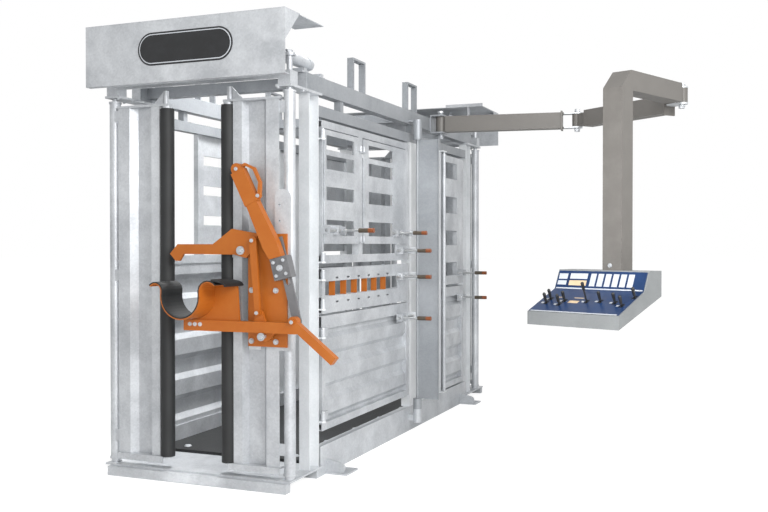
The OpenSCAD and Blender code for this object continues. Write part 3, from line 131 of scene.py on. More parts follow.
def smooth_coat(name, colour, scuffed, rough, peel_mm):
    """A closed coat or skin of enamel, paint, film or plastic: an even colour with faint scuffs, a
    slight orange-peel surface and a gloss that varies a little."""
    scuff_mm, peel_depth_mm = 90, 0.3
    material, tree, place = new_material(name)
    scuff = add(tree, "ShaderNodeTexNoise", {"Vector": place, "Scale": pattern_scale(scuff_mm), "Detail": 8.0,
                                             "Roughness": 0.7})
    worn = add(tree, "ShaderNodeMapRange", {"Value": scuff.outputs["Fac"], "From Min": 0.42,
                                            "From Max": 0.75})
    mixed = add(tree, "ShaderNodeMix", {"Factor": worn.outputs["Result"], "A": hex_linear(colour),
                                        "B": hex_linear(scuffed)}, data_type="RGBA")
    gloss = add(tree, "ShaderNodeMapRange", {"Value": scuff.outputs["Fac"], "From Min": 0.3, "From Max": 0.7,
                                             "To Min": rough - 0.06, "To Max": rough + 0.1})
    peel = add(tree, "ShaderNodeTexNoise", {"Vector": place, "Scale": pattern_scale(peel_mm), "Detail": 1.0})
    bump = add(tree, "ShaderNodeBump", {"Height": peel.outputs["Fac"], "Strength": 0.08,
                                        "Distance": peel_depth_mm * MM})
    shader = add(tree, "ShaderNodeBsdfPrincipled", {"Base Color": mixed.outputs["Result"], "IOR": 1.5,
                                                    "Roughness": gloss.outputs["Result"],
                                                    "Normal": bump.outputs["Normal"]})
    close_material(tree, shader)
    return material


def bright_ended(name, paint, zinc, pin, reach):
    """Sprayed boom arm whose fork is left bright zinc: warm grey paint, and clean metal within reach
    of the pin that the fork carries."""
    cloud_mm, zinc_metallic = 90, 0.4
    material, tree, place = new_material(name)
    axis = add(tree, "ShaderNodeSeparateXYZ", {"Vector": place})
    flat = add(tree, "ShaderNodeCombineXYZ", {"X": axis.outputs["X"], "Y": axis.outputs["Y"]})
    away = add(tree, "ShaderNodeVectorMath", {0: flat.outputs[0], 1: (pin.x, pin.y, 0)},
               operation="DISTANCE")
    bare = add(tree, "ShaderNodeMath", {0: away.outputs["Value"], 1: reach}, operation="LESS_THAN")
    cloud = add(tree, "ShaderNodeTexNoise", {"Vector": place, "Scale": pattern_scale(cloud_mm),
                                             "Detail": 6.0})
    shade = add(tree, "ShaderNodeMix", {"Factor": cloud.outputs["Fac"], "A": hex_linear(paint[0]),
                                        "B": hex_linear(paint[1])}, data_type="RGBA")
    bright = add(tree, "ShaderNodeMix", {"Factor": cloud.outputs["Fac"], "A": hex_linear(zinc[0]),
                                         "B": hex_linear(zinc[1])}, data_type="RGBA")
    colour = add(tree, "ShaderNodeMix", {"Factor": bare.outputs[0], "A": shade.outputs["Result"],
                                         "B": bright.outputs["Result"]}, data_type="RGBA")
    metal = add(tree, "ShaderNodeMath", {0: bare.outputs[0], 1: zinc_metallic}, operation="MULTIPLY")
    rough = add(tree, "ShaderNodeMapRange", {"Value": cloud.outputs["Fac"], "To Min": 0.38, "To Max": 0.5})
    shader = add(tree, "ShaderNodeBsdfPrincipled", {"Base Color": colour.outputs["Result"],
                                                    "Metallic": metal.outputs[0],
                                                    "Roughness": rough.outputs["Result"]})
    close_material(tree, shader)
    return material


def black_rubber(name, dark, dusty):
    """Moulded nitrile rubber: near black and matte, with a pebbled skin that holds pale dust. The
    pebbles are about 1 mm across on real rubber and are drawn 3 mm across, so that they show."""
    pebble_mm, pebble_depth_mm, dust_mm = 3, 0.8, 150
    material, tree, place = new_material(name)
    pebble = add(tree, "ShaderNodeTexVoronoi", {"Vector": place, "Scale": pattern_scale(pebble_mm)})
    dust = add(tree, "ShaderNodeTexNoise", {"Vector": place, "Scale": pattern_scale(dust_mm), "Detail": 6.0})
    held = add(tree, "ShaderNodeMapRange", {"Value": dust.outputs["Fac"], "From Min": 0.35, "From Max": 0.75})
    colour = add(tree, "ShaderNodeMix", {"Factor": held.outputs["Result"], "A": hex_linear(dark),
                                         "B": hex_linear(dusty)}, data_type="RGBA")
    bump = add(tree, "ShaderNodeBump", {"Height": pebble.outputs["Distance"], "Strength": 0.35,
                                        "Distance": pebble_depth_mm * MM})
    shader = add(tree, "ShaderNodeBsdfPrincipled", {"Base Color": colour.outputs["Result"], "IOR": 1.52,
                                                    "Roughness": 0.62, "Normal": bump.outputs["Normal"]})
    close_material(tree, shader)
    return material


def chromed(name):
    """Hard chrome ground round on a cylinder rod: bright, with faint grinding rings. Real rings are
    hundredths of a millimetre apart and are drawn 4 mm apart, so that they show."""
    ring_mm = 4
    material, tree, place = new_material(name)
    ring = add(tree, "ShaderNodeTexWave", {"Vector": place, "Scale": pattern_scale(ring_mm),
                                           "Distortion": 1.0}, bands_direction="Y")
    rough = add(tree, "ShaderNodeMapRange", {"Value": ring.outputs["Fac"], "To Min": 0.12, "To Max": 0.2})
    shader = add(tree, "ShaderNodeBsdfPrincipled", {"Base Color": hex_linear("#D8DADC"), "Metallic": 1.0,
                                                    "Roughness": rough.outputs["Result"]})
    close_material(tree, shader)
    return material


def latch_finish(name, grip_from, tip_from):
    """Zinc-plated bolt whose handle carries a dark moulded grip with an orange end cap: bright metal
    up to the grip, then dull plastic."""
    wear_mm = 12
    material, tree, place = new_material(name)
    axis = add(tree, "ShaderNodeSeparateXYZ", {"Vector": place})
    sleeve = add(tree, "ShaderNodeMath", {0: axis.outputs["X"], 1: grip_from}, operation="GREATER_THAN")
    tip = add(tree, "ShaderNodeMath", {0: axis.outputs["X"], 1: tip_from}, operation="GREATER_THAN")
    wear = add(tree, "ShaderNodeTexNoise", {"Vector": place, "Scale": pattern_scale(wear_mm), "Detail": 4.0})
    bright = add(tree, "ShaderNodeMix", {"Factor": wear.outputs["Fac"], "A": hex_linear("#A9ABAC"),
                                         "B": hex_linear("#D5D6D6")}, data_type="RGBA")
    grip = add(tree, "ShaderNodeMix", {"Factor": tip.outputs[0], "A": hex_linear("#4A4136"),
                                       "B": hex_linear("#7E421C")}, data_type="RGBA")
    colour = add(tree, "ShaderNodeMix", {"Factor": sleeve.outputs[0], "A": bright.outputs["Result"],
                                         "B": grip.outputs["Result"]}, data_type="RGBA")
    metal = add(tree, "ShaderNodeMath", {0: 1.0, 1: sleeve.outputs[0]}, operation="SUBTRACT")
    rough = add(tree, "ShaderNodeMapRange", {"Value": wear.outputs["Fac"], "To Min": 0.3, "To Max": 0.5})
    shader = add(tree, "ShaderNodeBsdfPrincipled", {"Base Color": colour.outputs["Result"],
                                                    "Metallic": metal.outputs[0],
                                                    "Roughness": rough.outputs["Result"]})
    close_material(tree, shader)
    return material


# Hot-dip zinc of the frame and the gates: light grey with soft clouds
ZINC = galvanised("hot_dip_zinc", "#D0D3D6", "#ABAEB2", spangle_mm=9, cloud_mm=260, shine=(0.34, 0.48))
# Hot-dip zinc with painted light: nearly white on the corner posts, for the strong light on their faces
ZINC_PAINTED_LIGHT = galvanised("fresh_zinc", "#E9EBED", "#D6D9DB", spangle_mm=9, cloud_mm=260, shine=(0.34, 0.46))
# Hot-dip zinc with painted shade: an even mid grey on the wing panel and top rails, for faces that get less
# light
ZINC_PAINTED_SHADE = galvanised("weathered_zinc", "#A4A7AB", "#8F9397", spangle_mm=9, cloud_mm=320, shine=(0.4, 0.52))
# Thin galvanised sheet of the console, with finer crystals and hardly any cloud
SHEET_ZINC = galvanised("bright_sheet_zinc", "#96999A", "#8A8D8E", spangle_mm=5, cloud_mm=200,
                        shine=(0.4, 0.48))
# Stoved enamel on steel: a strong orange with a soft gloss
ORANGE = smooth_coat("orange_enamel", "#AB5C14", "#B1651F", rough=0.48, peel_mm=1.6)
# Paint sprayed on the boom: a warm satin grey
BOOM_PAINT = ("#676460", "#706D69")
BOOM_GREY = smooth_coat("warm_grey_paint", BOOM_PAINT[0], BOOM_PAINT[1], rough=0.42, peel_mm=1.8)
# Paint sprayed on the clamp and its strut: a satin grey, cooler than the boom's
CLAMP_GREY = smooth_coat("clamp_grey_paint", "#68686A", "#757577", rough=0.45, peel_mm=1.4)
# Stoved paint on the operating panel: a deep blue, glossier than the other coats
BLUE = smooth_coat("blue_panel_paint", "#062A54", "#0B325F", rough=0.34, peel_mm=1.6)
# Blank vinyl film: off-white with a low sheen
LABEL = smooth_coat("blank_label_film", "#C6CACF", "#BBC0C6", rough=0.4, peel_mm=1.0)
# The same vinyl film in cream
CREAM = smooth_coat("blank_cream_film", "#D8BE9A", "#CDB28C", rough=0.4, peel_mm=1.0)
RUBBER = black_rubber("moulded_rubber", "#0F1011", "#1D1F20")
CHROME = chromed("ground_chrome")
# Moulded nylon: black with a soft sheen
BLACK_NYLON = smooth_coat("black_nylon", "#17181A", "#26272A", rough=0.45, peel_mm=1.2)
# How far from the middle of the crush a latch's grip and its end cap begin
GRIP_FROM, GRIP_TIP_FROM = 0.685, 0.742
LATCH = latch_finish("latch_zinc_and_grip", GRIP_FROM, GRIP_TIP_FROM)

JOINTS = {row["name"]: row for row in frame["record"]["behaviour"]["joints"]}


def joint_at(name):
    """The place of a joint's pivot at rest."""
    return Vector(JOINTS[name]["pos_m"])


# The finish of each material slot, and of the nodes that look unlike the rest of theirs, some in zinc with
# painted light or painted shade
SLOT_FINISHES = {
    "galvanised_steel": ZINC,
    "orange_enamel": ORANGE,
    "black_rubber": RUBBER,
    "grey_paint": BOOM_GREY,
    "chromed_rod": CHROME,
    "blue_paint": BLUE,
    "black_plastic": BLACK_NYLON,
}
NODE_FINISHES = {
    "clamp_strut": CLAMP_GREY,
    "friction_clamp": CLAMP_GREY,
    "console_box": SHEET_ZINC,
    # Corner posts: zinc painted lighter, as painted light
    "side_posts": ZINC_PAINTED_LIGHT,
    # Wing panel and top rails: zinc painted darker, as painted shade
    "wing_panel": ZINC_PAINTED_SHADE,
    "top_rails": ZINC_PAINTED_SHADE,
}

# Two arms end in a bright fork, which reaches this far round the next arm's pin
FORK_REACH = 0.094
FORK_ZINC = ("#BFC2C5", "#D0D3D5")
for arm, pin in (("boom_arm_1", "boom_elbow"), ("boom_arm_2", "boom_wrist")):
    NODE_FINISHES[arm] = bright_ended(arm + "_finish", BOOM_PAINT, FORK_ZINC, joint_at(pin), FORK_REACH)

SLOT_OF = {row["node"]: row["material_slot"] for row in frame["record"]["subparts"]}
for node_name, node in frame["nodes"].items():
    finish = NODE_FINISHES.get(node_name, SLOT_FINISHES[SLOT_OF[node_name]])
    if node_name.startswith("latch_"):
        finish = LATCH
    for slot in node.material_slots:
        slot.material = finish


# Meshes and fasteners

def mesh_object(name, shape, material):
    """Turns a finished bmesh into an object of the scene."""
    mesh = bpy.data.meshes.new(name)
    shape.to_mesh(mesh)
    shape.free()
    mesh.materials.append(material)
    made = bpy.data.objects.new(name, mesh)
    bpy.context.scene.collection.objects.link(made)
    return made


def mesh_piece(name, shape, material, body):
    """Turns a finished bmesh into a piece that rides on a body."""
    bmesh.ops.recalc_face_normals(shape, faces=shape.faces)
    made = mesh_object(name, shape, material)
    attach(made, body)


def turned_to(axis):
    """A rotation that takes +Z to the given direction."""
    return Vector((0, 0, 1)).rotation_difference(Vector(axis)).to_matrix().to_4x4()


def extrude_lone(shape, face, lift):
    """Extrudes a lone face into a closed solid by the vector lift, and gives its far corners."""
    grown = bmesh.ops.extrude_face_region(shape, geom=[face])
    corners = [v for v in grown["geom"] if isinstance(v, bmesh.types.BMVert)]
    bmesh.ops.translate(shape, vec=lift, verts=corners)
    return corners


def prism(shape, outline, lift):
    """A solid with an outline of points as its base, which reaches by the vector lift."""
    base = shape.faces.new([shape.verts.new(point) for point in outline])
    extrude_lone(shape, base, lift)


def break_edges(shape, edges, offset):
    """Takes the sharpness off the edges."""
    bmesh.ops.bevel(shape, geom=edges, offset=offset, offset_type="OFFSET", affect="EDGES", segments=2,
                    profile=0.5, material=-1)


# Proportions of a bolt, as shares of its washer's radius
WASHER_T, HEAD_H, HEAD_R, HEAD_CHAMFER = 0.16, 0.62, 0.88, 0.1


def add_hex_bolt(shape, place, axis, size):
    """A washer of radius size and a chamfered hexagon head, seated on the point that they are given."""
    seat = Matrix.Translation(Vector(place)) @ turned_to(axis)
    washer_t, head_h, head_r = WASHER_T * size, HEAD_H * size, HEAD_R * size
    bmesh.ops.create_cone(shape, cap_ends=True, segments=20, radius1=size, radius2=size, depth=washer_t,
                          matrix=seat @ Matrix.Translation((0, 0, washer_t / 2)))
    made = bmesh.ops.create_cone(shape, cap_ends=True, segments=6, radius1=head_r, radius2=head_r,
                                 depth=head_h,
                                 matrix=seat @ Matrix.Translation((0, 0, washer_t + head_h / 2)))
    from_seat = seat.inverted()
    top = {e for v in made["verts"] for e in v.link_edges
           if all((from_seat @ end.co).z > washer_t + head_h / 2 for end in e.verts)}
    break_edges(shape, list(top), HEAD_CHAMFER * size)


def bolts(name, body, places, size):
    """One piece of bolts or nuts, each at a point and with the direction that its head faces."""
    shape = bmesh.new()
    for place, axis in places:
        add_hex_bolt(shape, place, axis, size)
    mesh_piece(name, shape, ZINC, body)


FRONT, UP, DOWN, RIGHT = (0, -1, 0), (0, 0, 1), (0, 0, -1), (1, 0, 0)


# Bare badge on the fascia: a black stadium plate with a thin bright rim

def stadium(name, centre, width, height, thick, material):
    """A flat plate with round ends that faces the front, its back on the given point."""
    shape = bmesh.new()
    radius = height / 2
    half = width / 2 - radius
    made = bmesh.ops.create_circle(shape, cap_ends=True, segments=64, radius=radius)
    for v in made["verts"]:
        v.co.x += half if v.co.x > 0 else -half
    corners = extrude_lone(shape, shape.faces[:][0], (0, 0, thick))
    rim = [e for e in shape.edges if all(v in corners for v in e.verts)]
    break_edges(shape, rim, BADGE_BEVEL * thick)
    seat = Matrix.Translation(Vector(centre)) @ turned_to(FRONT)
    bmesh.ops.transform(shape, matrix=seat, verts=shape.verts)
    mesh_piece(name, shape, material, "crush")


BADGE_X, BADGE_Z = 0.022, 2.252
BADGE_W, BADGE_H, BADGE_T = 0.566, 0.170, 2.0 * MM
RIM_INSET, RIM_W, RIM_T = 0.009, 0.005, 0.8 * MM
# The bevel round each layer, as a share of its thickness
BADGE_BEVEL = 0.3
badge_layers = (("badge_plate", 0, BADGE_T, BLACK_NYLON, "black_plastic"),
                ("badge_rim", RIM_INSET, RIM_T, LABEL, "galvanised_steel"),
                ("badge_face", RIM_INSET + RIM_W, RIM_T, BLACK_NYLON, "black_plastic"))
layer_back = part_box("front_fascia")[0].y
for name, inset, thick, finish, slot_name in badge_layers:
    stadium(name, (BADGE_X, layer_back, BADGE_Z), BADGE_W - 2 * inset, BADGE_H - 2 * inset, thick, finish)
    layer_back -= thick


# Head restraint

def on_joint(name, y, aside=(0, 0)):
    """The point at depth y on a pivot's axis, moved aside by (x, z)."""
    at = joint_at(name)
    return (at.x + aside[0], y, at.z + aside[1])


def turned(x, z, angle):
    """(x, z) turned by an angle in the plane across the crush."""
    return (x * math.cos(angle) - z * math.sin(angle), x * math.sin(angle) + z * math.cos(angle))


def turn_from_upright(line):
    """The angle, across the crush, from an upright to a line."""
    return math.atan2(line.z, line.x) - math.pi / 2


# Each FACE is the depth of the face that nuts or screws sit on
SCOOP_BOLT_X, SCOOP_BOLT_Z, CHIN_ARM_FACE = (0.016, 0.046, 0.077), 0.838, -1.782
bolts("scoop_bolts", "chin", [((x, CHIN_ARM_FACE, SCOOP_BOLT_Z), FRONT) for x in SCOOP_BOLT_X], 11 * MM)

PIVOT_HEAD_FACES = {"chin_pivot": -1.796, "nose_pivot": -1.765, "clamp_pivot": -1.789}
pivot_nuts = [(on_joint(pivot, face), FRONT) for pivot, face in PIVOT_HEAD_FACES.items()]
bolts("pivot_nuts", "head_gate_r", pivot_nuts, 15 * MM)

PLATE_BOLT_X, PLATE_BOLT_Z, PLATE_HEAD_FACE = (0.345, 0.484), (0.757, 1.015), -1.7282
plate_nuts = [((x, PLATE_HEAD_FACE, z), FRONT) for x in PLATE_BOLT_X for z in PLATE_BOLT_Z]
bolts("plate_nuts", "head_gate_r", plate_nuts, 11 * MM)

LINK_TOP_X, LINK_TOP_Z = 0.3765, 1.266
LINK_HEAD_FACE, STRUT_HEAD_FACE = -1.779, -1.794
bolts("link_top_nut", "nose", [((LINK_TOP_X, LINK_HEAD_FACE, LINK_TOP_Z), FRONT)], 10 * MM)
bolts("chin_pin_nuts", "chin", [(on_joint("link_pivot", LINK_HEAD_FACE), FRONT),
                                (on_joint("strut_pivot", STRUT_HEAD_FACE), FRONT)], 10 * MM)

CLAMP_SCREW_X, CLAMP_SCREW_Z, CLAMP_SCREW_FACE = 0.028, 0.034, -1.786
strut_turn = turn_from_upright(joint_at("clamp_pivot") - joint_at("strut_pivot"))
clamp_screws = [(on_joint("clamp_pivot", CLAMP_SCREW_FACE, turned(x, z, strut_turn)), FRONT)
                for x in (-CLAMP_SCREW_X, CLAMP_SCREW_X) for z in (-CLAMP_SCREW_Z, CLAMP_SCREW_Z)]
bolts("clamp_screws", "clamp", clamp_screws, 9 * MM)

# Clamp lever: the bolts at its top and at the hinge of its grip loop
LEVER_TOP = Vector((0.292, 0, 1.626))
LEVER_FACE, LEVER_DEPTH = -1.786, 0.046
HINGE_ACROSS, HINGE_BELOW_TOP, HINGE_BEHIND_FACE = 0.0459, 0.175, 0.008
lever_line = LEVER_TOP - joint_at("clamp_pivot")
lever_turn = turn_from_upright(lever_line)
lever_len = math.hypot(lever_line.x, lever_line.z)
hinge_at = on_joint("clamp_pivot", LEVER_FACE + HINGE_BEHIND_FACE,
                    turned(HINGE_ACROSS, lever_len - HINGE_BELOW_TOP, lever_turn))
bolts("lever_head_bolt", "clamp", [((LEVER_TOP.x, LEVER_FACE, LEVER_TOP.z), FRONT), (hinge_at, FRONT)],
      10 * MM)

# Folded sleeve over the lever, open at the back: how far its ends are below the lever's top, and how
# far its edges stop short of the lever's back. The fold's outline is across and in depth.
SLEEVE_LOW_END, SLEEVE_HIGH_END, SLEEVE_SHORT = 0.195, 0.012, 0.006
SLEEVE_IN, SLEEVE_T = 0.0345, 0.003
SLEEVE_OUT = SLEEVE_IN + SLEEVE_T
sleeve_front, sleeve_back = LEVER_FACE - SLEEVE_T, LEVER_FACE + LEVER_DEPTH - SLEEVE_SHORT
sleeve_fold = ((-SLEEVE_OUT, sleeve_back), (-SLEEVE_OUT, sleeve_front), (SLEEVE_OUT, sleeve_front),
               (SLEEVE_OUT, sleeve_back), (SLEEVE_IN, sleeve_back), (SLEEVE_IN, LEVER_FACE),
               (-SLEEVE_IN, LEVER_FACE), (-SLEEVE_IN, sleeve_back))
sleeve_low, sleeve_high = lever_len - SLEEVE_LOW_END, lever_len - SLEEVE_HIGH_END
rise_x, rise_z = turned(0, sleeve_high - sleeve_low, lever_turn)
sleeve = bmesh.new()
prism(sleeve, [on_joint("clamp_pivot", y, turned(x, sleeve_low, lever_turn)) for x, y in sleeve_fold],
      (rise_x, 0, rise_z))
mesh_piece("lever_sleeve", sleeve, ORANGE, "clamp")

# Loose end of the scoop's lining, which lies over the right lip and droops past the web. Its curve has
# four control points, across and up the front.
FLAP_CURVE = [Vector(point) for point in ((0.2225, 1.0704), (0.2550, 1.0600), (0.2970, 1.0640),
                                          (0.3030, 1.0380))]
FLAP_POINTS, FLAP_HALF_T = 18, 0.0035
flap_line = geometry.interpolate_bezier(*FLAP_CURVE, FLAP_POINTS)
flap_top, flap_under = [], []
for i, point in enumerate(flap_line):
    ahead = flap_line[min(i + 1, FLAP_POINTS - 1)] - flap_line[max(i - 1, 0)]
    across = Vector((-ahead.y, ahead.x)).normalized() * FLAP_HALF_T
    flap_top.append(point + across)
    flap_under.append(point - across)
lining_low, lining_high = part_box("scoop_lining")
flap = bmesh.new()
prism(flap, [(point.x, lining_low.y, point.y) for point in flap_top + flap_under[::-1]],
      (0, lining_high.y - lining_low.y, 0))
mesh_piece("lining_flap", flap, RUBBER, "chin")

# Head gate: small screws down the pressed channel of the right leaf
LEAF_SCREW_X, LEAF_SCREW_Z, CHANNEL_BEHIND_PIVOT = 0.312, (0.16, 0.40, 0.655), 0.006
channel_y = joint_at("head_gate_right").y + CHANNEL_BEHIND_PIVOT
bolts("leaf_screws", "head_gate_r", [((LEAF_SCREW_X, channel_y, z), FRONT) for z in LEAF_SCREW_Z], 6 * MM)


# Ends of the crush

def from_pivot(at, outward, inward, z):
    """The point at height z, so far outward and towards the middle of the crush from a leaf's pivot."""
    return (at.x + math.copysign(1, at.x) * outward, at.y + math.copysign(1, -at.y) * inward, z)


# Heights of the faces that nuts sit on, and their places as steps outward and inward of the pivot
PLATE_UNDER, SHAFT_TOP, PIN_TOP = 2.038, 2.210, 2.238
CRANK_PIN = (-0.0811, 0.0743)
PLATE_NUTS = ((-0.047, -0.034), (-0.047, 0.090), (0.022, 0.105))
LEAF_PIVOTS = ("head_gate_right", "head_gate_left", "tail_gate_right", "tail_gate_left")
for name in LEAF_PIVOTS:
    at, leaf_body = joint_at(name), JOINTS[name]["child"]
    bolts(name + "_crank_nuts", leaf_body, [(from_pivot(at, 0, 0, SHAFT_TOP), UP)], 20 * MM)
    bolts(name + "_pin_nut", leaf_body, [(from_pivot(at, *CRANK_PIN, PIN_TOP), UP)], 15 * MM)
    bolts(name + "_plate_nuts", "crush",
          [(from_pivot(at, outward, inward, PLATE_UNDER), DOWN) for outward, inward in PLATE_NUTS], 10 * MM)

# Cylinders: where the barrel's line runs, and how far inward the clamp bands and port plugs are. A
# plug sinks a little into the round barrel.
CYLINDER_OUTWARD, CYLINDER_Z, CYLINDER_R = -0.09555, 2.226, 0.032
BANDS_INWARD, BAND_T, BAND_W = (0.1753, 0.3809), 0.003, 0.024
PLUGS_INWARD, PLUG_SINK = (0.1523, 0.3529), 0.001
band_r, plug_z = CYLINDER_R + BAND_T, CYLINDER_Z + CYLINDER_R - PLUG_SINK
for name in LEAF_PIVOTS:
    at = joint_at(name)
    bands = bmesh.new()
    for inward in BANDS_INWARD:
        middle = Matrix.Translation(from_pivot(at, CYLINDER_OUTWARD, inward, CYLINDER_Z))
        bmesh.ops.create_cone(bands, segments=40, radius1=band_r, radius2=band_r, depth=BAND_W, cap_ends=True,
                              matrix=middle @ turned_to((0, 1, 0)))
    mesh_piece(name + "_clamp_bands", bands, ZINC, "crush")
    bolts(name + "_port_plugs", "crush",
          [(from_pivot(at, CYLINDER_OUTWARD, inward, plug_z), UP) for inward in PLUGS_INWARD], 11 * MM)


# Caps in the open ends of the top rails and the threshold tubes

CAP_BEVEL = 0.8 * MM


def caps(name, boxes):
    """Zinc plates with broken edges, each from its low corner to its high corner."""
    shape = bmesh.new()
    for low, high in boxes:
        low, high = Vector(low), Vector(high)
        fitted = Matrix.Translation((low + high) / 2) @ Matrix.Diagonal((high - low).to_4d())
        bmesh.ops.create_cube(shape, size=1, matrix=fitted)
    break_edges(shape, shape.edges[:], CAP_BEVEL)
    mesh_piece(name, shape, ZINC, "crush")


RAIL_X, RAIL_PAST_PIVOT = 0.520, 0.168
RAIL_CAP_HALF, RAIL_CAP_LOW, RAIL_CAP_HIGH, RAIL_CAP_T = 0.0285, 2.0520, 2.1385, 0.004
front_cap_y = joint_at("head_gate_right").y + RAIL_PAST_PIVOT - RAIL_CAP_T
rear_cap_y = joint_at("tail_gate_right").y - RAIL_PAST_PIVOT
caps("rail_caps", [((x - RAIL_CAP_HALF, y, RAIL_CAP_LOW), (x + RAIL_CAP_HALF, y + RAIL_CAP_T, RAIL_CAP_HIGH))
                   for x in (-RAIL_X, RAIL_X) for y in (front_cap_y, rear_cap_y)])

# Where the threshold tubes end, along and across the crush; a cap stands out from each end
TUBE_ENDS = ((-1.725, 0.550), (-1.375, 0.550), (1.300, 0.550), (1.725, 0.550),
             (-1.725, -0.530), (-1.375, -0.550), (1.300, -0.550), (1.725, -0.530))
TUBE_CAP_HALF, TUBE_CAP_LOW, TUBE_CAP_HIGH, TUBE_CAP_T = 0.024, 0.001, 0.049, 0.003
tube_caps = []
for y, x in TUBE_ENDS:
    low_x, high_x = sorted((x, x + math.copysign(TUBE_CAP_T, x)))
    tube_caps.append(((low_x, y - TUBE_CAP_HALF, TUBE_CAP_LOW), (high_x, y + TUBE_CAP_HALF, TUBE_CAP_HIGH)))
caps("threshold_caps", tube_caps)

# Boom: nuts below and above each pin, at the heights of the faces that they sit on
BOOM_PINS = (("boom_root", "crush", 2.012, 2.178), ("boom_elbow", "boom_1", 2.0357, 2.1583),
             ("boom_wrist", "boom_2", 2.0777, 2.2003))
for name, body, under, above in BOOM_PINS:
    at = joint_at(name)
    bolts(name + "_nuts", body, [((at.x, at.y, above), UP), ((at.x, at.y, under), DOWN)], 21 * MM)

# Latches: a nut at the root of each handle, and four screws in each base plate
GATE_PLATE_FACE, WINDOW_PLATE_FACE = 0.5545, 0.5625
BOLT_X, BOLT_R, BOLT_TRAVEL, NUT_SINK = 0.575, 0.009, 0.040, 0.001
SCREW_ALONG, SCREW_UP = 0.018, 0.020
# The tail of a bolt reaches past its rear guide by its travel and a little more
GUIDE_GAP, TAIL_PAST_GUIDE = 0.026, 0.012
bolt_tail = BOLT_TRAVEL / 2 + GUIDE_GAP + TAIL_PAST_GUIDE + BOLT_TRAVEL
for row in JOINTS.values():
    if not row["child"].startswith("latch_"):
        continue
    body, gate = row["child"], row["parent"]
    low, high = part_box(body.replace("_body", ""))
    ahead = -1 if row["name"] == "latch_window_front_slide" else 1
    middle = low.y + bolt_tail if ahead > 0 else high.y - bolt_tail
    handle_y = middle - ahead * BOLT_TRAVEL / 2
    z = (low.z + high.z) / 2
    root = (BOLT_X + BOLT_R - NUT_SINK, handle_y, z)
    bolts(body.replace("_body", "_root_nut"), body, [(root, RIGHT)], 12 * MM)
    plate_face = WINDOW_PLATE_FACE if gate in ("leaf_f", "leaf_r") else GATE_PLATE_FACE
    screws = [((plate_face, middle + along, z + rise), RIGHT)
              for along in (-SCREW_ALONG, SCREW_ALONG) for rise in (-SCREW_UP, SCREW_UP)]
    bolts(body.replace("_body", "_screws"), gate, screws, 5.5 * MM)


# Console

# The column stands at the end of the last arm. Across, depth and height are the console's own, and its
# panel runs from the lip over the fold to the head.
CONSOLE_TURN = math.radians(-22)
COLUMN_REACH, COLUMN_TURN = 0.740, math.radians(-112)
wrist = joint_at("boom_wrist")
column = Vector((wrist.x + COLUMN_REACH * math.cos(COLUMN_TURN),
                 wrist.y + COLUMN_REACH * math.sin(COLUMN_TURN), 0))
console_place = Matrix.Translation(column) @ Matrix.Rotation(CONSOLE_TURN, 4, "Z")
LIP, FOLD, HEAD = Vector((0, -0.370, 0.886)), Vector((0, -0.110, 1.000)), Vector((0, -0.062, 1.106))
# A slope of the panel: its foot, its top, and the height of the panel's face over each
LOWER_SLOPE, UPPER_SLOPE = (LIP, FOLD, 0.0025, 0.0025), (FOLD, HEAD, 0.0037, 0.0029)


def panel_tiles(name, slope, tiles, thick, material):
    """Thin tiles on a slope of the panel; each is x0, x1 and the shares of the slope that it lies
    between."""
    shape = bmesh.new()
    foot, top, foot_lift, top_lift = slope
    run = top - foot
    out = Vector((0, -run.z, run.y)).normalized()
    for x0, x1, s0, s1 in tiles:
        corners = [foot + run * s + out * (foot_lift + (top_lift - foot_lift) * s) + Vector((x, 0, 0))
                   for x, s in ((x0, s0), (x1, s0), (x1, s1), (x0, s1))]
        prism(shape, corners, out * thick)
    bmesh.ops.transform(shape, matrix=console_place, verts=shape.verts)
    mesh_piece(name, shape, material, "console")


# Blank tiles of the upper slope: a row of six, three wider ones, a cream one and a line at the fold
TILE_T = 0.5 * MM
ROW_START, ROW_PITCH, ROW_TILE_W = -0.115, 0.046, 0.034
tile_row = [(x, x + ROW_TILE_W, 0.16, 0.80) for x in (ROW_START + ROW_PITCH * i for i in range(6))]
wide_tiles = [(-0.318, -0.262, 0.50, 0.78), (-0.318, -0.262, 0.20, 0.42), (-0.245, -0.135, 0.52, 0.80)]
panel_tiles("white_tiles", UPPER_SLOPE, tile_row + wide_tiles, TILE_T, LABEL)
panel_tiles("cream_tiles", UPPER_SLOPE, [(-0.245, -0.135, 0.18, 0.44)], TILE_T, CREAM)
panel_tiles("fold_line", UPPER_SLOPE, [(-0.320, 0.212, 0.0, 0.06)], TILE_T, LABEL)

# Where the nine levers stand, across and in depth, and how far from a lever its tag begins and ends
LEVER_SPOTS = ((-0.274, -0.275), (-0.272, -0.233), (-0.185, -0.285), (-0.175, -0.247), (-0.039, -0.246),
               (0.038, -0.236), (0.128, -0.243), (0.183, -0.270), (0.206, -0.180))
TAG_X, TAG_DEPTH = (-0.031, -0.015), (-0.008, 0.006)
lower_depth = FOLD.y - LIP.y


def share(depth):
    """The share of the lower slope at a depth."""
    return (depth - LIP.y) / lower_depth


tags = [(x + TAG_X[0], x + TAG_X[1], share(depth + TAG_DEPTH[0]), share(depth + TAG_DEPTH[1]))
        for x, depth in LEVER_SPOTS]
lip_line = (-0.316, 0.208, 0.012, 0.045)
cream_tags = [(-0.250, -0.200, 0.60, 0.68), (-0.135, -0.075, 0.60, 0.68),
              (0.052, 0.112, 0.72, 0.84), (-0.145, -0.085, 0.40, 0.50)]
panel_tiles("lever_tags", LOWER_SLOPE, tags + [lip_line], TILE_T, LABEL)
panel_tiles("cream_tags", LOWER_SLOPE, cream_tags, TILE_T, CREAM)

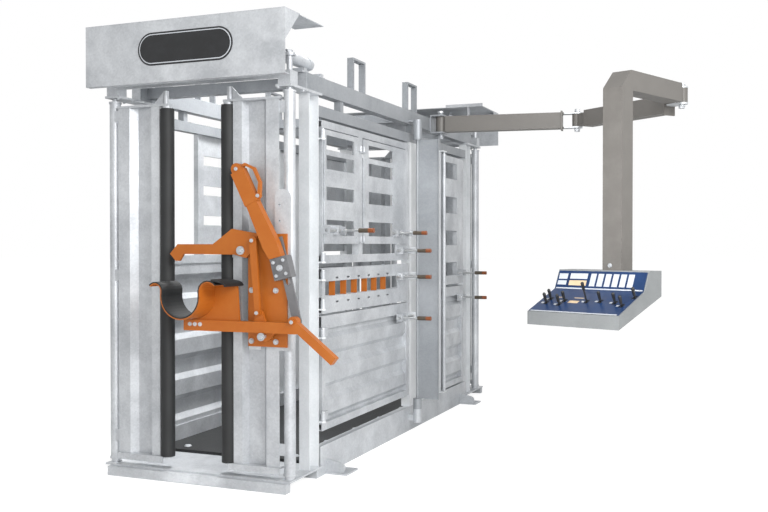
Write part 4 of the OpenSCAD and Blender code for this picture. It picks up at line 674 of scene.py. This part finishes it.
# Frames round the slots of the levers
SLOT_HALF_X, SLOT_HALF_LEN = 0.0072, 0.0142
FRAME_W, FRAME_T = 0.004, 1.5 * MM
slot_share = SLOT_HALF_LEN * math.cos(math.atan2(FOLD.z - LIP.z, lower_depth)) / lower_depth
frame_share = FRAME_W / lower_depth
slot_frames = []
for x, depth in LEVER_SPOTS:
    left, right = x - SLOT_HALF_X, x + SLOT_HALF_X
    near, far = share(depth) - slot_share, share(depth) + slot_share
    slot_frames += [(left - FRAME_W, left, near - frame_share, far + frame_share),
                    (right, right + FRAME_W, near - frame_share, far + frame_share),
                    (left, right, near - frame_share, near), (left, right, far, far + frame_share)]
panel_tiles("slot_rims", LOWER_SLOPE, slot_frames, FRAME_T, BLACK_NYLON)

COLUMN_BOLT = Vector((-0.012, -0.058, 1.132))
bolts("column_bolt", "console", [(console_place @ COLUMN_BOLT, console_place.to_3x3() @ Vector(FRONT))],
      12 * MM)


# Floor and background

# To the camera the floor is a glow mixed with its shaded white, so it is nearly white and keeps the
# shadows. The sky is white to the camera and in reflections, and dimmer as a light.
FLOOR_HALF, FLOOR_GLOW, FLOOR_GLOW_SHARE = 60, 1.25, 0.7
SKY_LIGHT = 0.47


def studio_floor():
    """Matte white paint on a studio's floor, even and without gloss."""
    material, tree, _ = new_material("studio_floor")
    shader = add(tree, "ShaderNodeBsdfPrincipled", {"Base Color": hex_linear("#F4F4F4"), "Roughness": 0.9})
    glow = add(tree, "ShaderNodeEmission", {"Color": (1, 1, 1, 1), "Strength": FLOOR_GLOW})
    ray = add(tree, "ShaderNodeLightPath")
    seen = add(tree, "ShaderNodeMath", {0: ray.outputs["Is Camera Ray"], 1: FLOOR_GLOW_SHARE},
               operation="MULTIPLY")
    mixed = add(tree, "ShaderNodeMixShader", {0: seen.outputs[0], 1: shader.outputs["BSDF"],
                                              2: glow.outputs["Emission"]})
    add(tree, "ShaderNodeOutputMaterial", {"Surface": mixed.outputs["Shader"]})
    return material


ground = bmesh.new()
bmesh.ops.create_grid(ground, x_segments=1, y_segments=1, size=FLOOR_HALF)
made = mesh_object("floor", ground, studio_floor())

world = bpy.data.worlds.new("studio")
bpy.context.scene.world = world
world.use_nodes = True
sky = world.node_tree
sky.nodes.clear()
ray = add(sky, "ShaderNodeLightPath")
seen = add(sky, "ShaderNodeMath", {0: ray.outputs["Is Camera Ray"], 1: ray.outputs["Is Glossy Ray"]},
           operation="MAXIMUM")
seen = add(sky, "ShaderNodeMath", {0: seen.outputs[0], 1: ray.outputs["Is Transmission Ray"]},
           operation="MAXIMUM")
level = add(sky, "ShaderNodeMapRange", {"Value": seen.outputs[0], "To Min": SKY_LIGHT, "To Max": 1.0})
back = add(sky, "ShaderNodeBackground", {"Color": (1, 1, 1, 1), "Strength": level.outputs["Result"]})
add(sky, "ShaderNodeOutputWorld", {"Surface": back.outputs["Background"]})


# Lights and camera

def soft_box(name, place, aim, size, watts, spread=180):
    """A square lamp at a place, turned to the point that it aims at, with its spread in degrees."""
    data = bpy.data.lights.new(name, "AREA")
    data.spread = math.radians(spread)
    data.shape = "SQUARE"
    data.size = size
    data.energy = watts
    lamp = bpy.data.objects.new(name, data)
    lamp.location = place
    lamp.rotation_euler = (Vector(aim) - Vector(place)).to_track_quat("-Z", "Y").to_euler()
    bpy.context.scene.collection.objects.link(lamp)


soft_box("side_light", place=(5.2, -4.0, 3.6), aim=(0.5, -0.8, 1.2), size=2.5, watts=290)
soft_box("camera_light", place=(3.0, -6.6, 1.6), aim=(0.5, -1.0, 1.2), size=2.0, watts=110)
soft_box("inside_light", place=(0.20, -0.7, 3.6), aim=(-0.5, -0.9, 0.9), size=0.6, watts=38, spread=80)
soft_box("console_light", place=(1.0, -4.2, 1.9), aim=(2.05, -1.25, 1.5), size=0.9, watts=8, spread=48)

# The photograph's camera, with its tilt down and its turn to the left in degrees
CAMERA_DOWN, CAMERA_LEFT = 0.73, 22.06
lens = bpy.data.cameras.new("camera")
lens.sensor_width = 36.0
lens.lens = 44.3
camera = bpy.data.objects.new("camera", lens)
camera.location = (2.766, -5.910, 1.249)
camera.rotation_euler = (math.radians(90 - CAMERA_DOWN), 0, math.radians(CAMERA_LEFT))
bpy.context.scene.collection.objects.link(camera)
bpy.context.scene.camera = camera
bpy.context.scene.view_settings.view_transform = "Standard"
